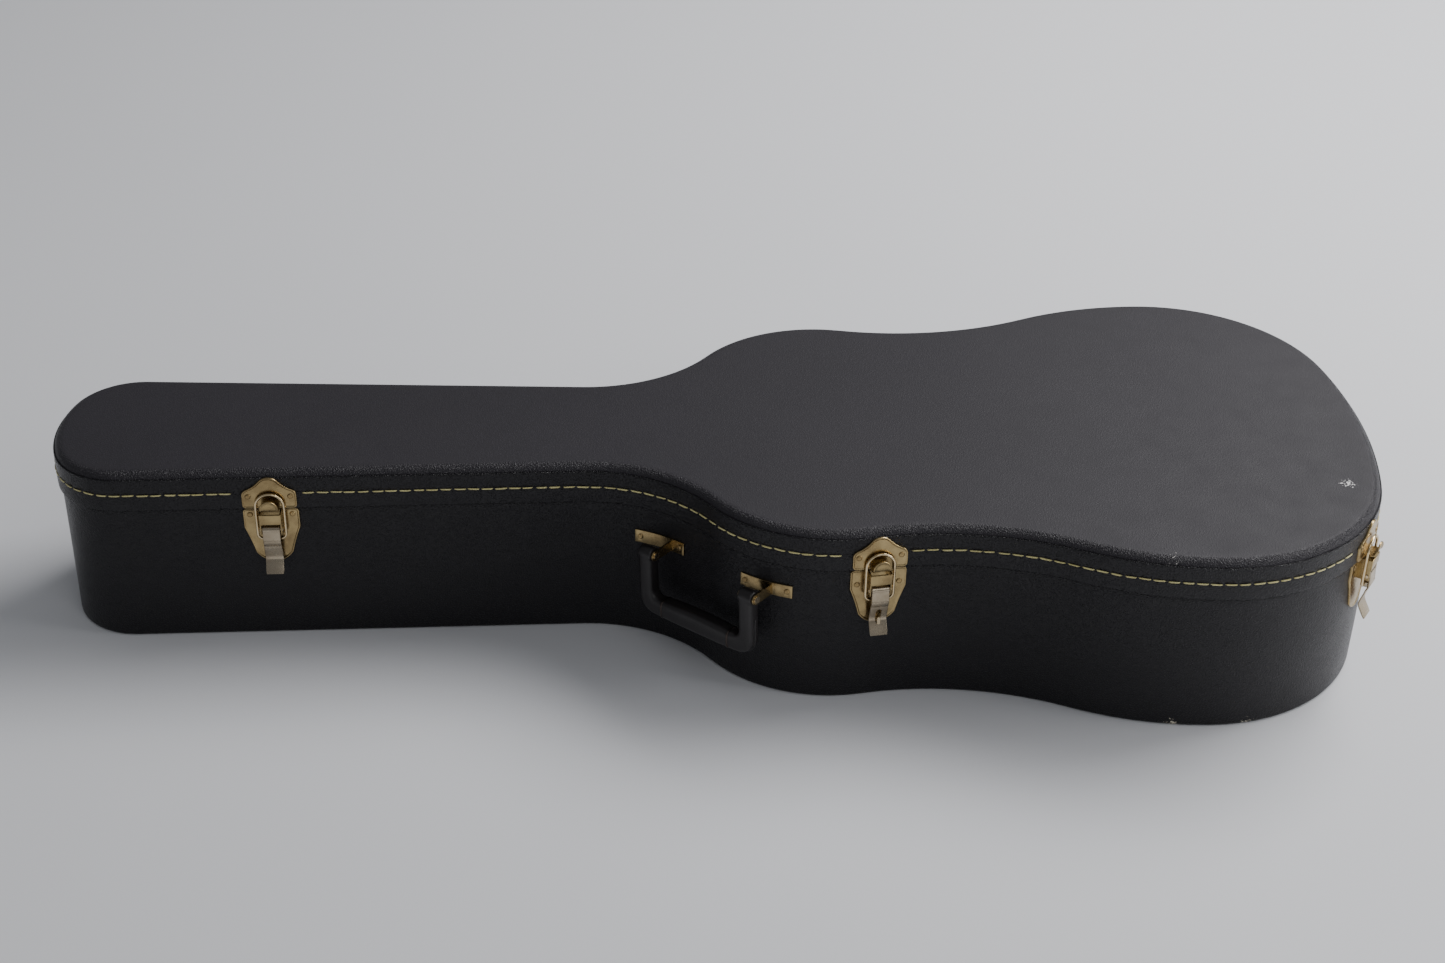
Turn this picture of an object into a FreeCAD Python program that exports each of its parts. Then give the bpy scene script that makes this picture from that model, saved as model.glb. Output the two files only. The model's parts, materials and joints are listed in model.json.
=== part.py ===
import FreeCAD, Part
import math
import os

# Hard-shell case for a flat-top guitar, lying on its base.
# Millimetres, +Z up. The origin is on the floor under the middle of the case's
# length and width, +X runs to the tail (body) end, and the opening side with the
# handle and the latches faces -Y. The hinges are on the +Y side.

V = FreeCAD.Vector
UP = V(0, 0, 1)

# ---- overall sizes -----------------------------------------------------------
CASE_LENGTH = 1090.0
CASE_HEIGHT = 160.0
LOWER_BOUT = 422.0            # widest width of the lid band
UPPER_BOUT = 337.5
WAIST = 322.0
HEAD_WIDTH = 159.6            # width where the neck sides would meet the head end
NECK_TAPER = 1.73             # degrees that each neck side opens towards the head
LID_HEIGHT = 35.5             # from the parting line to the top

# ---- plan outline of the band's outer face -----------------------------------
TAIL_RADIUS = 442.0
TAIL_CORNER_RADIUS = 148.0
BOUT_SIDE_RADIUS = 261.5
UPPER_BOUT_FROM_TAIL = 454.6
UPPER_BOUT_RADIUS = 121.5
SHOULDER_RADIUS = 125.0
HEAD_CORNER_RADIUS = 58.7
HEAD_RADIUS = 117.7

# ---- shell layers ------------------------------------------------------------
BAND = 1.0                    # fibre band round the lid
SKIN = 0.8                    # vinyl covering
PLY = 4.0                     # plywood of panels and rims
BAND_OVERHANG = 2.8           # band's face stands out past the base's wall
BAND_DROP = 6.0               # top edge of the band below the case's top
SEAM_GAP = 0.4                # between lid and base where they meet
TOP_EDGE_RADIUS = 8.0         # rounding of the lid's top edge
FLOOR_EDGE_RADIUS = 3.0       # rounding of the base's bottom edge
LIP = 1.5                     # closing lip's thickness
LIP_RISE = 8.5                # the lip stands this far above the parting line
LIP_DEPTH = 20.0              # and reaches this far below it
STITCH_RISE = 15.0            # stitch line above the parting line
STITCH_CLEAR = 0.4            # from a catch plate's side to the first stitch
THREAD_PROUD = 0.5
THREAD_WIDTH = 1.7

# ---- linings -----------------------------------------------------------------
WALL_LINING = 5.0
FLOOR_LINING = 6.0
LID_LINING = 5.0
LID_WALL_LINING = 3.0
LINING_GAP = 0.3

# ---- accessory box and neck rests ---------------------------------------------
BODY_PARTITION_FROM_TAIL = 640.0
HEAD_PARTITION_FROM_TAIL = 850.0
PARTITION = 8.0
BOX_LID_Z = 62.0              # underside of the accessory box's lid
BOX_LID = 5.0
BOX_LID_GAP = 1.5
BOX_PIVOT_RADIUS = 2.0
BOX_PIVOT_LENGTH = 10.0
BOX_PIVOT_IN = 5.0            # how far each pivot goes into its partition
BOX_PIVOT_Y = 22.0            # pivot line, towards the hinge side
PIVOT_CLEARANCE = 0.08
CRADLE_LENGTH = 46.0
CRADLE_TOP_BELOW_SEAM = 12.0
CRADLE_NOTCH_WIDTH = 66.0
CRADLE_NOTCH_DEPTH = 34.0
CRADLE_NOTCH_ROUND = 12.0     # height of the notch's curved bottom
HEAD_PAD_LENGTH = 70.0
HEAD_PAD_HEIGHT = 38.0
PULL_INSET = 4.0              # from the lid's front edge to the pull
PULL_LENGTH = 34.0
PULL_WIDTH = 16.0
PULL_THICKNESS = 1.6

# ---- latches -------------------------------------------------------------------
LATCH_FROM_TAIL = {"neck": 907.0, "waist": 422.0, "tail": 32.0}
BASE_RIVET_DROP = {"neck": 6.0, "waist": 14.0, "tail": 6.0}
LATCH_PLATE = 1.2
PLATE_RIM = 1.3               # width of the raised rim round each plate
PLATE_RIM_PROUD = 0.6
CATCH_ABOVE_SEAM = 1.7
CATCH_HEIGHT = 28.4
CATCH_HALF_WIDTH = 22.0
# catch plate's outline: in from the side, and up from the lower edge ...
CATCH_SIDE_RISE = 12.0
CATCH_EAR = (1.3, 15.6)
CATCH_NECK = (4.6, 17.8)
# ... or down from the top
CATCH_SWEEP = (10.4, 7.0)
CATCH_CROWN = (14.5, 3.0)
CATCH_PEAK = (18.0, 0.7)
PLATE_CORNER = 3.0
PLATE_CORNER_MIDDLE = 0.9
STRIKE_BELOW_SEAM = 0.5
STRIKE_HEIGHT = 51.0
STRIKE_HALF_WIDTH = 22.6
# strike plate's outline: in from the side, up from the lower end
STRIKE_TOE = (13.6, 2.9)
STRIKE_FOOT = (7.6, 9.0)
STRIKE_CALF = (5.6, 16.5)
STRIKE_KNEE = (3.2, 24.5)
STRIKE_HIP = (0.7, 31.5)
STRIKE_HIP_ROUND = (0.1, 33.2)
STRIKE_SIDE_RISE = 35.0
LATCH_RIVET_X = 17.0
CATCH_RIVET_RISE = 11.0
RIVET_RADIUS = 2.4
RIVET_SHANK = 1.3
RIVET_PROUD = 0.9
RIVET_BED = 3.0               # depth of head drawn before the curved plate is cut from it
RIVET_LAP = 0.2               # the shank starts this far inside the head

WIRE_RADIUS = 1.2
BAIL_GAP = 0.4                # from the heads of the lever's pin to the loop
BAIL_OFFSET = 3.8             # loop's plane outside the band's face
BAIL_TOP_ABOVE_SEAM = 15.9    # centre of the wire's top
BAIL_BAR_BELOW_SEAM = 25.7    # centre of the wire's lower bar
BAIL_LOWER_CORNER = 4.5
TONGUE_HALF_WIDTH = 7.5
TONGUE_GAP = 1.6              # between the tongue's tip and the wire
TONGUE_THICKNESS = 1.4
TONGUE_ABOVE_EDGE = 0.4       # root above the catch plate's lower edge
TONGUE_HEEL = 1.2             # extra thickness at the root
TONGUE_ROOT_HEIGHT = 2.6
TONGUE_REACH = 8.2            # how far the tongue's tip leans out of the catch plate

LEVER_PIVOT_BELOW_SEAM = 16.0
LEVER_PIVOT_OFFSET = 5.4
LEVER_HALF_WIDTH = 7.2
LEVER_STRAP = 1.3
LEVER_BARREL_RADIUS = 3.2
LEVER_PIN_RADIUS = 1.5
LEVER_TIP_BELOW_SEAM = 57.5
LEVER_STEP_OUT = 0.4          # the strap swells over the loop's bar
LEVER_STEP_DROP = 2.0
LEVER_BEND_IN = 1.6           # then steps in below it
LEVER_BEND_DROP = 6.0
LEVER_DIP_START = 15.0        # height of the lowest stretch above the tip
LEVER_DIP_END = 12.0
LEVER_DIP_EASE = 0.2
LEVER_TIP_OUT = 1.6
LUG_ROOT = 0.3                # the lug's depth inside the strap
LUG_BACK = 1.1                # metal behind the loop's bar
LUG_HALF_HEIGHT = 2.4
LEVER_DIP = 4.6               # the strap's lowest stretch, in from its front at the barrel
CHEEK_GAP = 0.4
CHEEK = 1.3
CHEEK_ROUND = 4.5
CHEEK_SLOPE = 1.2             # the cheeks' front edge lies this far inside that round
BRIDGE_BELOW_EDGE = 0.3       # from the strike plate's upper edge
BRIDGE_ABOVE_PIVOT = 5.8
PIN_HEAD = 0.8
PIN_HEAD_RADIUS = 1.9
RUNNING_CLEARANCE = 0.05
TINY = 1e-6                   # two lengths closer than this are the same
CUT_MARGIN = 5.0              # a cutting block stands this far past what it cuts
CUT_REACH = 30.0              # and this far through a curved wall, on both sides

LOCK_POST_BELOW_SEAM = 45.0
LOCK_POST_RADIUS = 1.4
LOCK_POST_CLEAR = 0.2         # from the vinyl to the post's inner end
LOCK_HEAD_LENGTH = 6.6
LOCK_HEAD_WIDTH = 2.6
LOCK_HEAD_THICKNESS = 1.8
LOCK_HEAD_GAP = 1.2           # from the strap's face to the back of the head
LOCK_SLOT_BELOW_HEAD = 0.6
LOCK_SLOT_LENGTH = 14.0
LOCK_SLOT_WIDTH = 4.4

# ---- handle --------------------------------------------------------------------
HANDLE_HEAD_FROM_TAIL = 593.0
HANDLE_TAIL_FROM_TAIL = 511.0
HANDLE_PIVOT_BELOW_SEAM = 26.8
HANDLE_PIVOT_OFFSET = 17.0    # pivot line outside the chord between its two plates
HANDLE_TILT = 2.45            # degrees that the pivot line climbs towards the tail
HANDLE_LEG_CENTRE = 52.0      # each leg from the handle's middle
HANDLE_LEG_WIDTH = 13.0
HANDLE_THICKNESS = 13.0
HANDLE_DROP = 54.0            # from the pivot to the underside of the grip
GRIP_HEIGHT = 15.5
HANDLE_OUTER_CORNER = 15.0
HANDLE_INNER_CORNER = 7.0
HANDLE_EDGE = 3.0
CORE_THICKNESS = 1.5
CORE_WIDTH = 6.0
CORE_DEPTH = 4.5              # strip's outer face inside the legs' inner faces
BRACKET_LENGTH = 45.0
BRACKET_HEIGHT = 11.5
BRACKET_PLATE = 1.2
EAR = 1.4
EAR_HEIGHT = 9.0
EAR_GAP = 0.5
HANDLE_PIN_RADIUS = 2.0
HANDLE_PIN_HEAD_RADIUS = 3.2
HANDLE_PIN_HEAD = 1.1
BRACKET_RIVET_X = 18.0

# ---- hinges --------------------------------------------------------------------
HINGE_FROM_TAIL = {"tail": 200.0, "waist": 430.0, "head": 985.0}
HINGE_LENGTH = 56.0
HINGE_AXIS_OFFSET = 4.4       # pin line outside the widest points of the band
HINGE_PIN_RADIUS = 1.5
KNUCKLE_RADIUS = 3.0
KNUCKLE_SPLIT = 0.4           # end gap between neighbouring knuckles
HINGE_LEAF = 1.4
LEAF_HEIGHT = 17.0
LEAF_FROM_AXIS = 4.4          # edge of each wall leaf above or below the pin line
HINGE_RIVET_X = 20.0

# ---- heights worked out from the sizes above ------------------------------------
SEAM = CASE_HEIGHT - LID_HEIGHT
BASE_TOP = SEAM - SEAM_GAP / 2
LID_BOTTOM = SEAM + SEAM_GAP / 2
BAND_TOP = CASE_HEIGHT - BAND_DROP
FLOOR_TOP = SKIN + PLY
LID_PANEL_TOP = CASE_HEIGHT - SKIN
LID_PANEL_BOTTOM = LID_PANEL_TOP - PLY

# ---- the loop straddles the lever, its cheeks and the heads of its pin ------------
BAIL_HALF_WIDTH = LEVER_HALF_WIDTH + CHEEK_GAP + CHEEK + PIN_HEAD + BAIL_GAP + WIRE_RADIUS
LUG_HALF_WIDTH = BAIL_HALF_WIDTH - BAIL_LOWER_CORNER - 0.6

# ---- wall offsets, outward positive from the band's outer face -------------------
LID_SKIN_OUT = -BAND
LID_RIM_OUT = LID_SKIN_OUT - SKIN
LID_RIM_IN = LID_RIM_OUT - PLY
BASE_SKIN_OUT = -BAND_OVERHANG
BASE_RIM_OUT = BASE_SKIN_OUT - SKIN
BASE_RIM_IN = BASE_RIM_OUT - PLY


def unit(a, b):
    """Unit direction from a to b in the plan's (u, w) plane."""
    d = math.hypot(b[0] - a[0], b[1] - a[1])
    return ((b[0] - a[0]) / d, (b[1] - a[1]) / d)


def on_line(a, b, distance):
    """The point at a distance from a towards b."""
    d = unit(a, b)
    return (a[0] + d[0] * distance, a[1] + d[1] * distance)


def waist_circle(bout, upper):
    """Circle that touches both bouts from outside and is WAIST / 2 off the middle."""
    half = WAIST / 2

    def factors(centre, radius):
        gap = half - centre[1]
        return gap * gap - radius * radius, 2 * (radius - gap)

    k1, m1 = factors(*bout)
    k2, m2 = factors(*upper)
    # (u - u1)^2 + k1 = R m1 and (u - u2)^2 + k2 = R m2, solved for u between them
    u1, u2 = bout[0][0], upper[0][0]
    a = m2 - m1
    b = -2 * (m2 * u1 - m1 * u2)
    c = m2 * (u1 * u1 + k1) - m1 * (u2 * u2 + k2)
    root = math.sqrt(b * b - 4 * a * c)
    low, high = sorted((u1, u2))
    for u in ((-b + root) / (2 * a), (-b - root) / (2 * a)):
        if low < u < high:
            radius = ((u - u1) ** 2 + k1) / m1
            return (u, half + radius), radius
    raise ValueError("no waist between the bouts")


def half_outline():
    """Half plan from tail to head as (start, end, centre, radius, bulge) pieces.

    u runs from the tail along the middle line and w is the distance from it. bulge
    is +1 for a round that bows outward, -1 for a hollow, 0 for the straight neck.
    """
    tail = (TAIL_RADIUS, 0.0)
    corner_w = LOWER_BOUT / 2 - TAIL_CORNER_RADIUS
    corner_u = TAIL_RADIUS - math.sqrt((TAIL_RADIUS - TAIL_CORNER_RADIUS) ** 2 - corner_w ** 2)
    corner = (corner_u, corner_w)
    side = (corner_u, LOWER_BOUT / 2 - BOUT_SIDE_RADIUS)
    upper = (UPPER_BOUT_FROM_TAIL, UPPER_BOUT / 2 - UPPER_BOUT_RADIUS)
    waist, waist_radius = waist_circle((side, BOUT_SIDE_RADIUS), (upper, UPPER_BOUT_RADIUS))

    taper = math.radians(NECK_TAPER)
    along = (math.cos(taper), math.sin(taper))
    out = (-along[1], along[0])
    end = (CASE_LENGTH, HEAD_WIDTH / 2)

    def beside_neck(offset, centre, distance, sign):
        """Centre at an offset from the neck line and a distance from another centre."""
        base = (end[0] + out[0] * offset, end[1] + out[1] * offset)
        rel = (centre[0] - base[0], centre[1] - base[1])
        foot = rel[0] * along[0] + rel[1] * along[1]
        off = rel[0] * out[0] + rel[1] * out[1]
        step = foot + sign * math.sqrt(distance ** 2 - off ** 2)
        return (base[0] + along[0] * step, base[1] + along[1] * step)

    shoulder = beside_neck(SHOULDER_RADIUS, upper, UPPER_BOUT_RADIUS + SHOULDER_RADIUS, 1)
    head = (CASE_LENGTH - HEAD_RADIUS, 0.0)
    turn = beside_neck(-HEAD_CORNER_RADIUS, head, HEAD_RADIUS - HEAD_CORNER_RADIUS, 1)

    p1 = on_line(tail, corner, TAIL_RADIUS)
    p2 = (corner_u, LOWER_BOUT / 2)
    p3 = on_line(side, waist, BOUT_SIDE_RADIUS)
    p4 = on_line(waist, upper, waist_radius)
    p5 = on_line(upper, shoulder, UPPER_BOUT_RADIUS)
    p6 = (shoulder[0] - out[0] * SHOULDER_RADIUS, shoulder[1] - out[1] * SHOULDER_RADIUS)
    p7 = (turn[0] + out[0] * HEAD_CORNER_RADIUS, turn[1] + out[1] * HEAD_CORNER_RADIUS)
    p8 = on_line(head, turn, HEAD_RADIUS)
    return [((0.0, 0.0), p1, tail, TAIL_RADIUS, 1),
            (p1, p2, corner, TAIL_CORNER_RADIUS, 1),
            (p2, p3, side, BOUT_SIDE_RADIUS, 1),
            (p3, p4, waist, waist_radius, -1),
            (p4, p5, upper, UPPER_BOUT_RADIUS, 1),
            (p5, p6, shoulder, SHOULDER_RADIUS, -1),
            (p6, p7, None, 0.0, 0),
            (p7, p8, turn, HEAD_CORNER_RADIUS, 1),
            (p8, (CASE_LENGTH, 0.0), head, HEAD_RADIUS, 1)]


OUTLINE = half_outline()
LOWER_BOUT_PIECE = 2          # places of the two bouts' side arcs in the half outline
UPPER_BOUT_PIECE = 4
HEAD_CORNER_PIECE = 7


def outward(piece, point):
    """Outward unit normal of an outline piece at one of its points."""
    start, end, centre, radius, bulge = piece
    if bulge == 0:
        d = unit(start, end)
        return (-d[1], d[0])
    d = unit(centre, point)
    return (d[0] * bulge, d[1] * bulge)


def to_part(u, w, side, z=0.0):
    """Plan (u, w) to the case's frame; side is -1 at the latches, +1 at the hinges."""
    return V(CASE_LENGTH / 2 - u, side * w, z)


def outline_edges(offset, side):
    """One side of the outline, moved outward by offset, from tail to head."""
    edges = []
    for piece in OUTLINE:
        start, end, centre, radius, bulge = piece
        moved = []
        for point in (start, end):
            n = outward(piece, point)
            moved.append((point[0] + n[0] * offset, point[1] + n[1] * offset))
        # the ends on the middle line stay on it
        ends = [to_part(p[0], 0.0 if abs(q[1]) < TINY else p[1], side)
                for p, q in zip(moved, (start, end))]
        if bulge == 0:
            edges.append(Part.makeLine(ends[0], ends[1]))
            continue
        a = unit(centre, start)
        b = unit(centre, end)
        middle = unit((0.0, 0.0), (a[0] + b[0], a[1] + b[1]))
        size = radius + bulge * offset
        via = to_part(centre[0] + middle[0] * size, centre[1] + middle[1] * size, side)
        edges.append(Part.Arc(ends[0], via, ends[1]).toShape())
    return edges


def outline_face(offset):
    """Flat face inside the whole outline moved by offset."""
    front = outline_edges(offset, -1)
    back = outline_edges(offset, 1)
    return Part.Face(Part.Wire(Part.__sortEdges__(front + back)))


def slab(offset, low, high):
    """Solid of the plan outline between two heights."""
    face = outline_face(offset)
    face.translate(V(0, 0, low))
    return face.extrude(V(0, 0, high - low))


def ring(outer, inner, low, high):
    """Wall that follows the outline between two offsets and two heights."""
    return slab(outer, low, high).cut(slab(inner, low - 1, high + 1))


def box(x0, x1, y0, y1, z0, z1):
    return Part.makeBox(x1 - x0, y1 - y0, z1 - z0, V(x0, y0, z0))


def half(shape, side):
    """The part of a shape on the latch side (-1) or the hinge side (+1)."""
    reach = CASE_LENGTH
    low, high = (-reach, 0) if side < 0 else (0, reach)
    return shape.common(box(-reach, reach, low, high, -reach, reach))


def between(shape, x0, x1):
    """The part of a shape between two cross planes."""
    reach = CASE_LENGTH
    return shape.common(box(x0, x1, -reach, reach, -reach, reach))


def from_tail(distance):
    """x of a plane across the case at a distance from its tail end."""
    return CASE_LENGTH / 2 - distance


def cylinder(radius, start, end):
    axis = end - start
    return Part.makeCylinder(radius, axis.Length, start, axis)


def prism(points, depth_from, depth_to):
    """Solid of a closed (x, z) profile, between two local y values.

    A profile is a list of points; a point given with a second one before it, as a
    pair (via, end), is reached by an arc through via.
    """
    last = V(points[0][0], depth_from, points[0][1])
    first = last
    edges = []
    for item in points[1:]:
        if isinstance(item[0], tuple):
            via = V(item[0][0], depth_from, item[0][1])
            end = V(item[1][0], depth_from, item[1][1])
            edges.append(Part.Arc(last, via, end).toShape())
        else:
            end = V(item[0], depth_from, item[1])
            edges.append(Part.makeLine(last, end))
        last = end
    if (last - first).Length > TINY:
        edges.append(Part.makeLine(last, first))
    face = Part.Face(Part.Wire(edges))
    return face.extrude(V(0, depth_to - depth_from, 0))


def side_prism(points, x0, x1):
    """Solid of a closed (offset, z) profile, swept along the wall from x0 to x1."""
    wire = Part.makePolygon([V(x0, -p[0], p[1]) for p in points + [points[0]]])
    return Part.Face(wire).extrude(V(x1 - x0, 0, 0))


def wall_place(distance, side):
    """Placement of a wall fitting: local x along the wall, -y outward, z up."""
    for piece in OUTLINE:
        start, end, centre, radius, bulge = piece
        if start[0] <= distance <= end[0]:
            break
    if bulge == 0:
        share = (distance - start[0]) / (end[0] - start[0])
        w = start[1] + (end[1] - start[1]) * share
    else:
        w = centre[1] + bulge * math.sqrt(radius ** 2 - (distance - centre[0]) ** 2)
    n = outward(piece, (distance, w))
    normal = V(-n[0], side * n[1], 0)
    turn = math.degrees(math.atan2(normal.x, -normal.y))
    return FreeCAD.Placement(to_part(distance, w, side), FreeCAD.Rotation(UP, turn))


def placed(shape, place):
    """Copy of a locally built shape, moved to its place on the case."""
    out = shape.copy()
    out.Placement = place.multiply(out.Placement)
    return out


def joined(shapes):
    """One solid from pieces that meet."""
    out = shapes[0]
    for shape in shapes[1:]:
        out = out.fuse(shape)
    return out.removeSplitter()


def group(shapes):
    """Separate solids kept in one node."""
    return Part.makeCompound([solid for shape in shapes for solid in shape.Solids])


def export(name, shape):
    solids = shape.Solids
    if not solids or not shape.isValid():
        raise ValueError(name + " is not a valid solid")
    out = solids[0] if len(solids) == 1 else Part.makeCompound(solids)
    out.exportStep(os.path.join("parts", name + ".step"))


# ---- base shell ------------------------------------------------------------------
def rounded_floor(offset, top, radius):
    """Base block with its bottom edge rounded, from the floor up."""
    block = slab(offset, 0, top)
    bottom = [e for e in block.Edges if e.BoundBox.ZMax < TINY]
    return block.makeFillet(radius, bottom)


def base_shell():
    outer = rounded_floor(BASE_SKIN_OUT, BASE_TOP, FLOOR_EDGE_RADIUS)
    core_block = rounded_floor(BASE_RIM_OUT, BASE_TOP - SKIN, FLOOR_EDGE_RADIUS - SKIN)
    core_block.translate(V(0, 0, SKIN))
    skin = outer.cut(core_block)
    split = box(-CASE_LENGTH, CASE_LENGTH, -CASE_LENGTH, CASE_LENGTH, -1, SKIN)
    export("base_skin_bottom", skin.common(split))
    export("base_skin_side", skin.cut(split))

    floor_cut = slab(BASE_RIM_OUT + 1, FLOOR_TOP, BASE_TOP + 1)
    export("base_floor_panel", core_block.cut(floor_cut))
    rim = ring(BASE_RIM_OUT, BASE_RIM_IN, FLOOR_TOP, BASE_TOP)
    lip = ring(BASE_RIM_IN, BASE_RIM_IN - LIP, SEAM - LIP_DEPTH, SEAM + LIP_RISE)
    for name, side in (("front", -1), ("back", 1)):
        export("base_rim_" + name, half(rim, side))
        export("closing_lip_" + name, half(lip, side))


def base_linings():
    floor = slab(BASE_RIM_IN - LINING_GAP, FLOOR_TOP, FLOOR_TOP + FLOOR_LINING)
    export("lining_floor", floor)
    low = FLOOR_TOP + FLOOR_LINING
    high = SEAM - LIP_DEPTH - LINING_GAP
    wall = ring(BASE_RIM_IN, BASE_RIM_IN - WALL_LINING, low, high)
    export("lining_wall_front", half(wall, -1))
    export("lining_wall_back", half(wall, 1))


# ---- accessory box, neck rest and head pad ------------------------------------------
BOX_FLOOR = FLOOR_TOP + FLOOR_LINING
INSIDE = BASE_RIM_IN - WALL_LINING - LINING_GAP
BODY_PARTITION_X = from_tail(BODY_PARTITION_FROM_TAIL)
HEAD_PARTITION_X = from_tail(HEAD_PARTITION_FROM_TAIL)
BOX_LID_TOP = BOX_LID_Z + BOX_LID
BOX_PIVOT_Z = BOX_LID_Z + BOX_LID / 2


def neck_half_width(x):
    """Half width of the lined neck channel at a cross plane."""
    slice_ = between(slab(INSIDE, 0, 1), x - 0.5, x + 0.5)
    return slice_.BoundBox.YMax


def pivot_line():
    """Ends of the accessory lid's two pivots, each inside its partition."""
    y, z = BOX_PIVOT_Y, BOX_PIVOT_Z
    near = BODY_PARTITION_X - PARTITION + BOX_PIVOT_IN
    far = HEAD_PARTITION_X + PARTITION - BOX_PIVOT_IN
    return V(near, y, z), V(far, y, z)


def partitions():
    near, far = pivot_line()
    room = cylinder(BOX_PIVOT_RADIUS + PIVOT_CLEARANCE, near + V(PIVOT_CLEARANCE, 0, 0),
                    far - V(PIVOT_CLEARANCE, 0, 0))
    inside = slab(INSIDE, BOX_FLOOR, BOX_LID_TOP)
    for name, x0 in (("body", BODY_PARTITION_X - PARTITION), ("head", HEAD_PARTITION_X)):
        export("partition_" + name, between(inside, x0, x0 + PARTITION).cut(room))


def accessory_lid():
    x0 = HEAD_PARTITION_X + PARTITION + BOX_LID_GAP
    x1 = BODY_PARTITION_X - PARTITION - BOX_LID_GAP
    near, far = pivot_line()
    # the back edge is straight and rounded round the pivots, so that it can turn
    reach = BOX_LID / 2
    panel = between(slab(INSIDE - BOX_LID_GAP, BOX_LID_Z, BOX_LID_TOP), x0, x1)
    front = panel.common(box(x0, x1, -CASE_LENGTH, near.y, BOX_LID_Z, BOX_LID_TOP))
    edge = cylinder(reach, V(x0, near.y, BOX_PIVOT_Z), V(x1, near.y, BOX_PIVOT_Z))
    holes = group([cylinder(BOX_PIVOT_RADIUS, V(x1 - BOX_PIVOT_LENGTH, near.y, near.z), near),
                   cylinder(BOX_PIVOT_RADIUS, far, V(x0 + BOX_PIVOT_LENGTH, far.y, far.z))])
    export("compartment_lid", joined([front, edge]).cut(holes))
    export("compartment_pivots", holes)
    shelf_from = near.y + reach + BOX_LID_GAP
    shelf = slab(INSIDE, BOX_LID_Z, BOX_LID_TOP)
    shelf = between(shelf, HEAD_PARTITION_X + PARTITION, BODY_PARTITION_X - PARTITION)
    behind = box(x0 - CUT_MARGIN, x1 + CUT_MARGIN, shelf_from, CASE_LENGTH, 0, CASE_HEIGHT)
    export("compartment_shelf", shelf.common(behind))

    front_y = -neck_half_width((x0 + x1) / 2) + BOX_LID_GAP
    middle = (x0 + x1) / 2
    flat = box(middle - PULL_WIDTH / 2, middle + PULL_WIDTH / 2, front_y + PULL_INSET,
               front_y + PULL_INSET + PULL_LENGTH, BOX_LID_TOP, BOX_LID_TOP + PULL_THICKNESS)
    export("compartment_pull", flat)


def neck_cradle():
    top = SEAM - CRADLE_TOP_BELOW_SEAM
    x1 = BODY_PARTITION_X
    x0 = x1 - PARTITION
    # the cradle stands on the body side of the partition and on its top edge
    post = between(slab(INSIDE, BOX_FLOOR, top), x1 + LINING_GAP, x1 + CRADLE_LENGTH)
    cap = between(slab(INSIDE - LINING_GAP, BOX_LID_TOP + LINING_GAP, top), x0, x1 + 1)
    lip = ring(INSIDE + CUT_MARGIN, BASE_RIM_IN - LIP - LINING_GAP, SEAM - LIP_DEPTH - 1, top + 1)
    post = post.cut(lip)
    cap = cap.cut(lip)
    notch_w = CRADLE_NOTCH_WIDTH / 2
    notch_bottom = top - CRADLE_NOTCH_DEPTH
    profile = [(x, z) for x, z in ((-notch_w, top + 1), (-notch_w, notch_bottom + CRADLE_NOTCH_ROUND))]
    profile += [((0.0, notch_bottom), (notch_w, notch_bottom + CRADLE_NOTCH_ROUND)), (notch_w, top + 1)]
    notch = prism(profile, -CASE_LENGTH, CASE_LENGTH)
    notch.rotate(V(0, 0, 0), UP, 90)
    export("neck_cradle", joined([post, cap]).cut(notch))


def head_pad():
    x0 = HEAD_PARTITION_X - HEAD_PAD_LENGTH
    pad = between(slab(INSIDE, BOX_FLOOR, BOX_FLOOR + HEAD_PAD_HEIGHT), x0, HEAD_PARTITION_X)
    export("headstock_pad", pad)


# ---- lid shell ------------------------------------------------------------------------
def rounded_top(offset, low, top, radius):
    block = slab(offset, low, top)
    edges = [e for e in block.Edges if e.BoundBox.ZMin > top - TINY]
    return block.makeFillet(radius, edges)


def lid_shell():
    outer = rounded_top(LID_SKIN_OUT, LID_BOTTOM, CASE_HEIGHT, TOP_EDGE_RADIUS)
    wood = rounded_top(LID_RIM_OUT, LID_BOTTOM - 1, LID_PANEL_TOP, TOP_EDGE_RADIUS - SKIN)
    export("lid_skin", outer.cut(wood))
    wood = wood.cut(slab(LID_RIM_OUT + 1, LID_BOTTOM - 2, LID_BOTTOM))
    panel_cut = slab(LID_RIM_OUT + 1, LID_BOTTOM - 2, LID_PANEL_BOTTOM)
    export("lid_panel", wood.cut(panel_cut))
    rim = wood.common(panel_cut).cut(slab(LID_RIM_IN, LID_BOTTOM - 3, LID_PANEL_BOTTOM + 1))
    export("lid_rim_front", half(rim, -1))
    export("lid_rim_back", half(rim, 1))
    export("lid_band", ring(0, LID_SKIN_OUT, LID_BOTTOM, BAND_TOP))

    inner = LID_RIM_IN - LINING_GAP
    low = LID_PANEL_BOTTOM - LID_LINING
    export("lid_lining_top", slab(inner, low, LID_PANEL_BOTTOM))
    wall_low = SEAM + LIP_RISE + 2
    export("lid_lining_wall", ring(LID_RIM_IN, LID_RIM_IN - LID_WALL_LINING, wall_low, low))


def stitching(plates):
    """Thread round the band, hidden where a catch plate or a hinge leaf lies on it."""
    z = SEAM + STITCH_RISE
    thread = ring(THREAD_PROUD, 0, z - THREAD_WIDTH / 2, z + THREAD_WIDTH / 2)
    for place, half_width in plates:
        gap = box(-half_width, half_width, -CUT_REACH, CUT_REACH, z - CUT_MARGIN, z + CUT_MARGIN)
        thread = thread.cut(placed(gap, place))
    export("lid_stitching", thread)


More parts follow.
